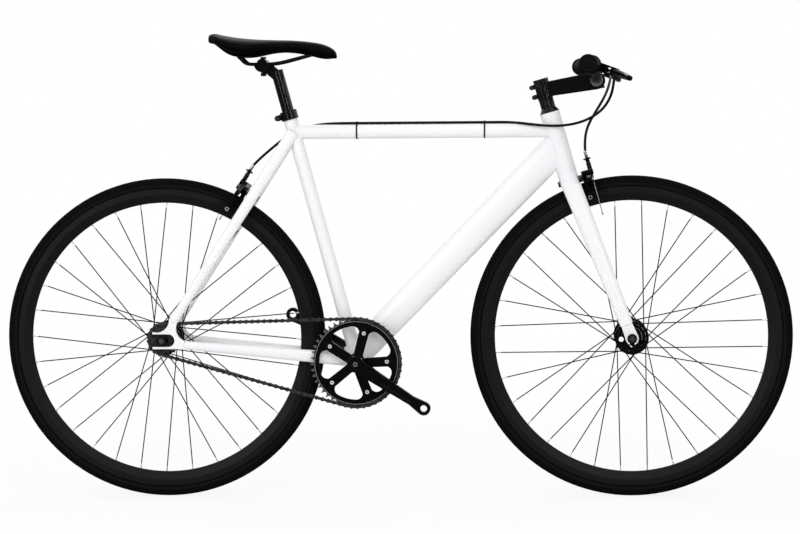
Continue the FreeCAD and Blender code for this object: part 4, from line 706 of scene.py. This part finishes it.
def dress_nodes(paints):
    """Give each CAD node its finish."""
    finish = {
        "frame": ["head_tube", "top_tube", "down_tube", "seat_tube", "bottom_bracket_shell", "chainstays",
                  "seatstays", "brake_bridge", "fork_crown", "fork_blades"],
        "dropout": ["rear_dropouts"],
        "stem": ["stem", "stem_faceplate", "headset_spacers"],
        "post": ["seatpost", "seat_clamp"],
        "bar": ["handlebar"],
        "shell": ["saddle_shell"],
        "alloy": ["saddle_clamp", "brake_lever_brackets"],
        "caliper": ["front_caliper_arm_left", "front_caliper_arm_right", "rear_caliper_arm_left",
                    "rear_caliper_arm_right"],
        "crank": ["crank_right", "crank_left"],
        "chainring": ["chainring"],
        "black_steel": ["saddle_rails", "bottom_bracket_cartridge"],
        "bolt": ["frame_bolts", "steering_bolts"],
        "ring_bolt": ["crank_bolts"],
        "metal": ["headset_bearings", "crank_spindle"],
        "chain": ["chain", "rear_sprocket"],
        "plastic": ["cable_ties", "front_inner_tube", "rear_inner_tube"],
    }
    for side in ("front", "rear"):
        for own in ("hub", "rim", "tyre", "spokes", "axle"):
            finish[side + "_" + own] = [side + "_" + own]
        for hand in ("left", "right"):
            finish[side + "_pad_" + hand] = [side + "_brake_pad_" + hand]
    for paint, nodes in finish.items():
        for node in nodes:
            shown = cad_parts[node]
            shown.data.materials.clear()
            shown.data.materials.append(paints[paint])


def saddle(paint):
    """Crowned saddle: each ring is a superellipse, flatter below, carried from tail to nose.

    A station gives its distance from the tail, its top and its underside above the rails, and half its
    width. A smooth curve runs through the stations.
    """
    stations = np.array([
        (0.0, 59.5, 46.0, 30.0), (1.5, 62.5, 44.5, 40.0), (10.0, 64.3, 42.5, 50.0),
        (28.0, 61.0, 33.0, 64.0), (50.0, 57.0, 20.5, 70.0), (78.0, 53.5, 16.5, 66.0),
        (105.0, 51.5, 19.5, 52.0), (140.0, 50.2, 25.5, 35.0), (178.0, 49.0, 25.0, 26.0),
        (215.0, 45.2, 17.0, 21.5), (240.0, 40.0, 11.5, 19.0), (256.0, 32.5, 10.5, 15.5),
        (262.5, 27.0, 10.5, 12.5), (265.5, 22.0, 11.0, 10.0), (266.5, 17.5, 12.0, 7.0)])
    route = through(stations, 10)
    columns = 96
    angle = np.linspace(0, 2 * np.pi, columns, endpoint=False) - np.pi / 2
    c, s = np.cos(angle), np.sin(angle)
    side = np.sign(c) * np.abs(c) ** 0.72
    lift = np.where(s > 0, np.abs(s) ** 0.80, -np.abs(s) ** 0.45)
    drawn = np.where(s < 0, 1.0 - 0.20 * np.abs(s) ** 1.5, 1.0 - 0.06 * s)
    top = SADDLE_RAILS + route[:, 1]
    low = SADDLE_RAILS + route[:, 2]
    waist = low + 0.45 * (top - low)
    height = np.where(s[None] > 0, (top - waist)[:, None], (waist - low)[:, None])
    grid = np.empty((len(route), columns, 3))
    grid[:, :, 0] = SADDLE_TAIL + route[:, :1]
    grid[:, :, 1] = route[:, 3:] * (side * drawn)[None]
    grid[:, :, 2] = waist[:, None] + height * lift[None]
    cover = piece("saddle_padding", [grid], paint, "seat", uv=True)
    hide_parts("saddle_cover")


def grips(paint):
    """Ribbed grips: radius 16 with a rounded rib every 5 mm, a collar inside and a flanged end."""
    along = np.linspace(8.0, 118.0, 221)
    rib = 15.1 + 0.9 * np.abs(np.sin(np.pi * along / 5.0)) ** 0.6
    body = np.stack([along, rib], axis=-1)
    head = [(-3.0, 2.0), (-3.0, 9.0), (-2.4, 11.0), (-2.4, 12.5), (-3.0, 13.5), (-3.0, 16.5),
            (-2.2, 18.1), (-0.5, 18.8), (2.5, 18.8), (4.5, 18.2), (5.2, 16.8), (6.0, 15.6)]
    tail = [(119.0, 15.6), (120.5, 17.0), (122.0, 18.4), (124.0, 18.8), (127.0, 18.4), (128.0, 17.0),
            (128.0, 11.2)]
    stations = np.concatenate([head, body, tail])
    rings = []
    for hand in (-1.0, 1.0):
        end = bar_point(hand * BAR_END)
        inward = bar_point(hand * BAR_BEND) - end
        rings.append(turned(end, inward, stations, 48))
    made = piece("ribbed_grips", rings, paint, "steering")
    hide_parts("grips")


def levers(paint):
    """Brake levers: a rounded square carried from pivot past bend to tip, thicker at the root."""
    flat = np.array([(43.0, 6.0), (47.0, 10.0), (60.0, 22.0), (72.0, 36.0), (77.0, 55.0), (79.5, 76.0),
                     (82.0, 98.0), (84.0, 110.0)])
    count = 72
    share = np.linspace(0, 1, count)
    width = np.interp(share, [0, 0.02, 0.08, 0.3, 0.55, 0.8, 0.9, 0.96, 1.0],
                      [3.0, 6.5, 8.2, 7.4, 6.2, 5.6, 6.6, 6.4, 3.0])
    depth = np.interp(share, [0, 0.03, 0.3, 0.45, 0.62, 0.9, 1.0], [3.5, 7.0, 7.5, 7.0, 5.6, 5.4, 2.6])
    for hand, side in ((-1.0, "right"), (1.0, "left")):
        origin, ahead, out = lever_axes(hand)
        path = smooth_route(origin + flat[:, :1] * ahead + flat[:, 1:] * out, count)
        grid = carried(path, squircle(24, 2.8), np.stack([width, depth], axis=-1), np.cross(ahead, out))
        made = piece("lever_blade_" + side, [grid], paint, side + "_lever")
        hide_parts("brake_lever_" + side)


def cable_tube(name, points, paint, count, body):
    """A cable sleeve: a circle carried along its smooth route."""
    tube = carried(smooth_route(points, count), circle(SLEEVE_RADIUS, 16), reference=(0.31, 0.12, 0.94))
    return piece(name, [tube], paint, body)


def cables(paint):
    """The front cable, and the rear one as a bend by the bar and a run along the frame."""
    left, left_in = lever_end(1.0)
    front_end, front_up = sleeve_end("front")
    front = [left, left + left_in * 30.0, (451, 72, 876), (444, 40, 853), (430, 8, 828), (411, -14, 800),
             (395, -25, 770), front_end + front_up * 15.0, front_end]
    made = cable_tube("front_cable", front, paint, 110, "steering")
    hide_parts("front_cable_housing")
    right, right_in = lever_end(-1.0)
    split = np.array([211.87, 0.0, OVER_TUBE])
    loop = [split, (238, 0, OVER_TUBE), (269, -11, 786.5), (305, -22, 781.5), (342, -29, 780.2),
            (379, -34, 785.2), (413, -41, 799.2), (438, -49, 821.2), (451, -60, 850.2), (453, -80, 877.2),
            right + right_in * 27.5, right]
    made = cable_tube("rear_cable_bend", loop, paint, 140, None)
    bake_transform(made)
    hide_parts("rear_cable_loop")
    rear_end, rear_up = sleeve_end("rear")
    turns = CLUSTER + np.array([(112, 0, 17.6), (86, 3.5, 17.4), (55, 11, 15.6), (22, 21, 9),
                                (-11, 28.5, -5), (-40, 31, -26)])
    run = [split, (180, 0, OVER_TUBE), (100, 0, OVER_TUBE), (0, 0, OVER_TUBE), (-75, 0, OVER_TUBE),
           *turns, rear_end + rear_up * 17.5, rear_end]
    made = cable_tube("rear_cable", run, paint, 170, "frame")
    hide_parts("rear_cable_housing")


def cable_fittings(metal, alloy):
    """Bare wires, clamp nuts, barrel sleeves and cable ferrules, each turned round a straight line."""
    tail = [(-84.0, 0.3), (-84.0, 1.5), (-77.0, 1.5), (-76.6, 0.95), (4.6, 0.95), (4.6, 0.3)]
    nut = [(4.3, 0.5), (4.3, 4.8), (8.6, 4.8), (8.6, 0.5)]
    for side, body in (("front", "front_arm_left"), ("rear", "rear_arm_right")):
        place, up, ahead = wire_line(side)
        wire = turned(place + ahead * WIRE_AHEAD, up, tail, 10)
        clamp = turned(place - up * 7.0, ahead, nut, 6)
        piece(side + "_brake_wire", [wire, clamp], metal, body)
    sleeve = [(15.3, 2.6), (15.3, 4.3), (16.5, 4.9), (22.0, 4.9), (22.6, 4.5), (23.2, 4.9), (28.6, 4.9),
              (29.6, 4.3), (33.0, 4.3), (33.0, 2.6)]
    for side, body in (("front", "front_arm_right"), ("rear", "rear_arm_left")):
        place, up, ahead = wire_line(side)
        barrel = turned(place + ahead * WIRE_AHEAD, up, sleeve, 24)
        piece(side + "_barrel_sleeve", [barrel], alloy, body)
    cap = [(0.0, 0.9), (0.0, 3.1), (0.5, 3.4), (13.0, 3.4), (13.6, 3.2), (13.6, 2.7)]
    for name, (place, way), body in (
            ("front_brake_ferrule", sleeve_end("front"), "steering"),
            ("rear_brake_ferrule", sleeve_end("rear"), "frame"),
            ("left_lever_ferrule", lever_end(1.0), "steering"),
            ("right_lever_ferrule", lever_end(-1.0), "steering")):
        piece(name, [turned(place, way, cap, 24)], metal, body)


def valves(metal, rubber):
    """Valves: a plain stem, a lock nut and a small cap, turned round a line out of the axle."""
    along = np.linspace(258.0, 290.0, 65)
    plain = np.stack([along, np.full_like(along, 2.9)], axis=-1)
    nut = [(282.0, 3.0), (282.0, 5.0), (285.4, 5.2), (285.4, 3.0)]
    cap = [(240.0, 0.4), (240.3, 2.6), (244.0, 3.6), (258.0, 3.9), (259.0, 3.4), (259.0, 0.5)]
    for side, axle, angle in (("front", FRONT_AXLE, 113.68), ("rear", REAR_AXLE, -6.48)):
        way = heading(angle)
        body = side + "_wheel"
        stem = [turned(axle, way, plain, 20), turned(axle, way, nut, 6)]
        piece(side + "_valve_stem", stem, metal, body)
        piece(side + "_valve_cap", [turned(axle, way, cap, 18)], rubber, body)


def weld_bead(start, way, half_depth, half_width, centre, axis, radius):
    """A small rounded ridge along the line where a tube meets a round one.

    Points of the tube's wall slide along the tube until they meet a cylinder about an axis, and a circle
    is carried along the closed line through them.
    """
    turns = np.linspace(0, 2 * np.pi, 97)[:-1]
    deep = np.cross(way, Y)
    wall = start + np.cos(turns)[:, None] * half_depth * deep + np.sin(turns)[:, None] * half_width * Y
    offset = wall - centre
    offset = offset - (offset @ axis)[:, None] * axis
    flat = way - way.dot(axis) * axis
    a = flat.dot(flat)
    b = offset @ flat
    c = np.einsum("ij,ij->i", offset, offset) - radius ** 2
    slide = (-b - np.sqrt(np.maximum(b * b - a * c, 0.0))) / a
    line = wall + slide[:, None] * way
    tangent = np.roll(line, -1, axis=0) - np.roll(line, 1, axis=0)
    tangent /= np.linalg.norm(tangent, axis=1, keepdims=True)
    out = line - line.mean(axis=0)
    out -= np.einsum("ij,ij->i", out, tangent)[:, None] * tangent
    out /= np.linalg.norm(out, axis=1, keepdims=True)
    over = np.cross(tangent, out)
    ridge = circle(1.6, 8)
    return line[:, None, :] + ridge[None, :, :1] * out[:, None] + ridge[None, :, 1:] * over[:, None]


def welds(paint):
    """Weld beads where the top tube meets the head and seat tubes, and the down tube the head tube."""
    head_axis = -HEAD_DOWN
    joint = HEAD_BASE - HEAD_DOWN * 59.0
    along = unit(joint - CRANK_AXIS)
    down_start = CRANK_AXIS + np.array([-along[2], 0.0, along[0]]) * 10.0
    down_way = unit(joint - down_start)
    ahead = np.array([1.0, 0.0, 0.0])
    top_middle = np.array([0.0, 0.0, TOP_TUBE_HEIGHT])
    beads = [
        weld_bead(top_middle, ahead, TOP_TUBE_RADIUS, TOP_TUBE_RADIUS, HEAD_BASE, head_axis,
                  HEAD_TUBE_RADIUS),
        weld_bead(down_start + down_way * 300.0, down_way, DOWN_TUBE_HALF_DEPTH, DOWN_TUBE_HALF_WIDTH,
                  HEAD_BASE, head_axis, HEAD_TUBE_RADIUS),
        weld_bead(top_middle, -ahead, TOP_TUBE_RADIUS, TOP_TUBE_RADIUS, CRANK_AXIS, SEAT_UP,
                  SEAT_TUBE_RADIUS)]
    piece("frame_welds", beads, paint, "frame", ring=True)


def floor_paint():
    """Pale floor: it takes the shadow near the bicycle, fades to white, and mirrors darkly."""
    material = bpy.data.materials.new("studio_floor")
    material.use_nodes = True
    material.node_tree.nodes.clear()
    tree = Tree(material.node_tree)
    reach = tree.node("ShaderNodeVectorMath", {"operation": "LENGTH"}, {0: tree.coords("Object")}, "Value")
    fade = reach.ramp(0.75, 1.9, 0.85, 1.0)
    glossy = tree.rays("Is Glossy Ray")
    diffuse = tree.node("ShaderNodeBsdfDiffuse", None, {"Color": (0.93, 0.93, 0.93)})
    glow = tree.node("ShaderNodeEmission", None, {"Color": (1.0, 1.0, 1.0), "Strength": 1 - 0.88 * glossy})
    factor = (tree.rays("Is Camera Ray") * fade).most(glossy)
    mixed = tree.node("ShaderNodeMixShader", None, {0: factor, 1: diffuse, 2: glow})
    tree.node("ShaderNodeOutputMaterial", None, {0: mixed})
    return material


def add_floor():
    """A wide white floor under the wheels."""
    mesh = bpy.data.meshes.new("floor")
    size = 30.0
    corners = [(-size, -size, 0), (size, -size, 0), (size, size, 0), (-size, size, 0)]
    mesh.from_pydata(corners, [], [(0, 1, 2, 3)])
    floor = bpy.data.objects.new("floor", mesh)
    bpy.context.scene.collection.objects.link(floor)
    mesh.materials.append(floor_paint())


def add_world():
    """White to the camera, an even soft light, and darker in mirrors on the camera's side."""
    world = bpy.data.worlds.new("studio")
    bpy.context.scene.world = world
    world.use_nodes = True
    tree = Tree(world.node_tree)
    mirrored = tree.part(tree.coords("Generated"), "Y").ramp(-0.95, 0.25, 0.08, 0.85)
    soft = tree.node("ShaderNodeMix", None, {0: tree.rays("Is Glossy Ray"), 2: 0.58, 3: mirrored})
    seen = tree.rays("Is Camera Ray").most(tree.rays("Is Transmission Ray"))
    back = world.node_tree.nodes["Background"]
    tree.feed(back.inputs["Color"], (1.0, 1.0, 1.0))
    tree.feed(back.inputs["Strength"], seen.most(soft))


def add_lamps():
    """Wide soft lamps round the bicycle, and two narrow strips that draw lines on the black parts."""
    # Name, place, height aimed at, width and height in metres, and watts.
    lamps = [
        ("key", (1.2, -4.2, 3.6), 0.5, 3.0, 3.0, 62.0),
        ("fill", (-3.2, -3.4, 2.2), 0.5, 2.6, 2.6, 50.0),
        ("top", (0.0, 0.4, 4.6), 0.4, 3.4, 3.4, 30.0),
        ("behind", (0.6, 4.0, 4.0), 0.5, 3.0, 3.0, 40.0),
        ("strip_left", (-1.7, -3.6, 1.5), 0.55, 0.12, 2.4, 14.0),
        ("strip_right", (2.0, -3.5, 1.4), 0.55, 0.12, 2.4, 14.0)]
    for name, (x, y, z), aim_height, width, height, power in lamps:
        light = bpy.data.lights.new(name, "AREA")
        light.shape = "RECTANGLE"
        light.size = width
        light.size_y = height
        light.energy = power
        lamp = bpy.data.objects.new(name, light)
        bpy.context.scene.collection.objects.link(lamp)
        lamp.location = (x, y, z)
        lamp.rotation_euler = (math.atan2(math.hypot(x, y), z - aim_height), 0.0, math.atan2(x, -y))


def add_camera():
    """The camera where the photograph was taken, with the yaw, pitch and roll that it had."""
    yaw, pitch, roll = math.radians(-2.876), math.radians(4.113), math.radians(0.455)
    forward = np.array([math.sin(yaw) * math.cos(pitch), math.cos(yaw) * math.cos(pitch), -math.sin(pitch)])
    right = np.array([math.cos(yaw), -math.sin(yaw), 0.0])
    down = np.cross(forward, right)
    lens = bpy.data.cameras.new("camera")
    lens.sensor_width = 36.0
    lens.sensor_fit = "HORIZONTAL"
    lens.lens = 108.0
    lens.clip_end = 200.0
    camera = bpy.data.objects.new("camera", lens)
    bpy.context.scene.collection.objects.link(camera)
    place = np.eye(4)
    place[:3, 0] = math.cos(roll) * right + math.sin(roll) * down
    place[:3, 1] = math.sin(roll) * right - math.cos(roll) * down
    place[:3, 2] = -forward
    place[:3, 3] = np.array([258.95, -5040.55, 848.62]) * MM
    camera.matrix_world = Matrix(place.tolist())
    bpy.context.scene.camera = camera
    bpy.context.scene.view_settings.view_transform = "Standard"


def all_paints():
    """Every finish by name: the shared ones, and those that are centred on a wheel or a bolt."""
    paints = {
        "frame": frame_white(),
        "dropout": dropout_white(),
        "alloy": black_alloy("black_alloy", 0.20, 0.25, 0.0009),
        "post": black_alloy("post_black", 0.15, 0.5, 0.0009),
        "caliper": black_alloy("caliper_black", 0.30, 0.10, 0.0012),
        "stem": black_alloy("stem_black", 0.20, 0.4, 0.0030),
        "bar": bar_black(),
        "crank": crank_black(),
        "chainring": chainring_black(),
        "ring_bolt": ring_bolts(),
        "chain": browned_steel(),
        "black_steel": black_steel(),
        "bolt": bright_steel("bolt_steel", 0.10, 0.30),
        "metal": bright_steel("ferrule_steel", 0.60, 0.22),
        "shell": black_rubber("shell_plastic", 0.0015, 0.85, 600.0),
        "plastic": black_rubber("black_plastic", 0.003, 0.5, 600.0),
        "grip": black_rubber("grip_rubber", 0.0014, 0.60, 900.0),
        "cable": cable_black(),
        "saddle": saddle_black(),
    }
    for side, axle in (("front", FRONT_AXLE), ("rear", REAR_AXLE)):
        paints[side + "_hub"] = hub_black(side + "_hub_black", axle)
        paints[side + "_rim"] = rim_black(side + "_rim_black", axle)
        paints[side + "_tyre"] = tyre_black(side + "_tyre_black", axle)
        paints[side + "_spokes"] = spoke_black(side + "_spoke_black", axle)
        paints[side + "_axle"] = axle_steel(side + "_axle_steel", axle)
    for name, (x, z) in PAD_BOLTS.items():
        paints[name] = pad_rubber(name, x, z)
    return paints


def main():
    paints = all_paints()
    dress_nodes(paints)
    saddle(paints["saddle"])
    grips(paints["grip"])
    levers(paints["alloy"])
    cables(paints["cable"])
    cable_fittings(paints["metal"], paints["alloy"])
    valves(paints["metal"], paints["plastic"])
    welds(paints["frame"])
    add_floor()
    add_world()
    add_lamps()
    add_camera()


main()
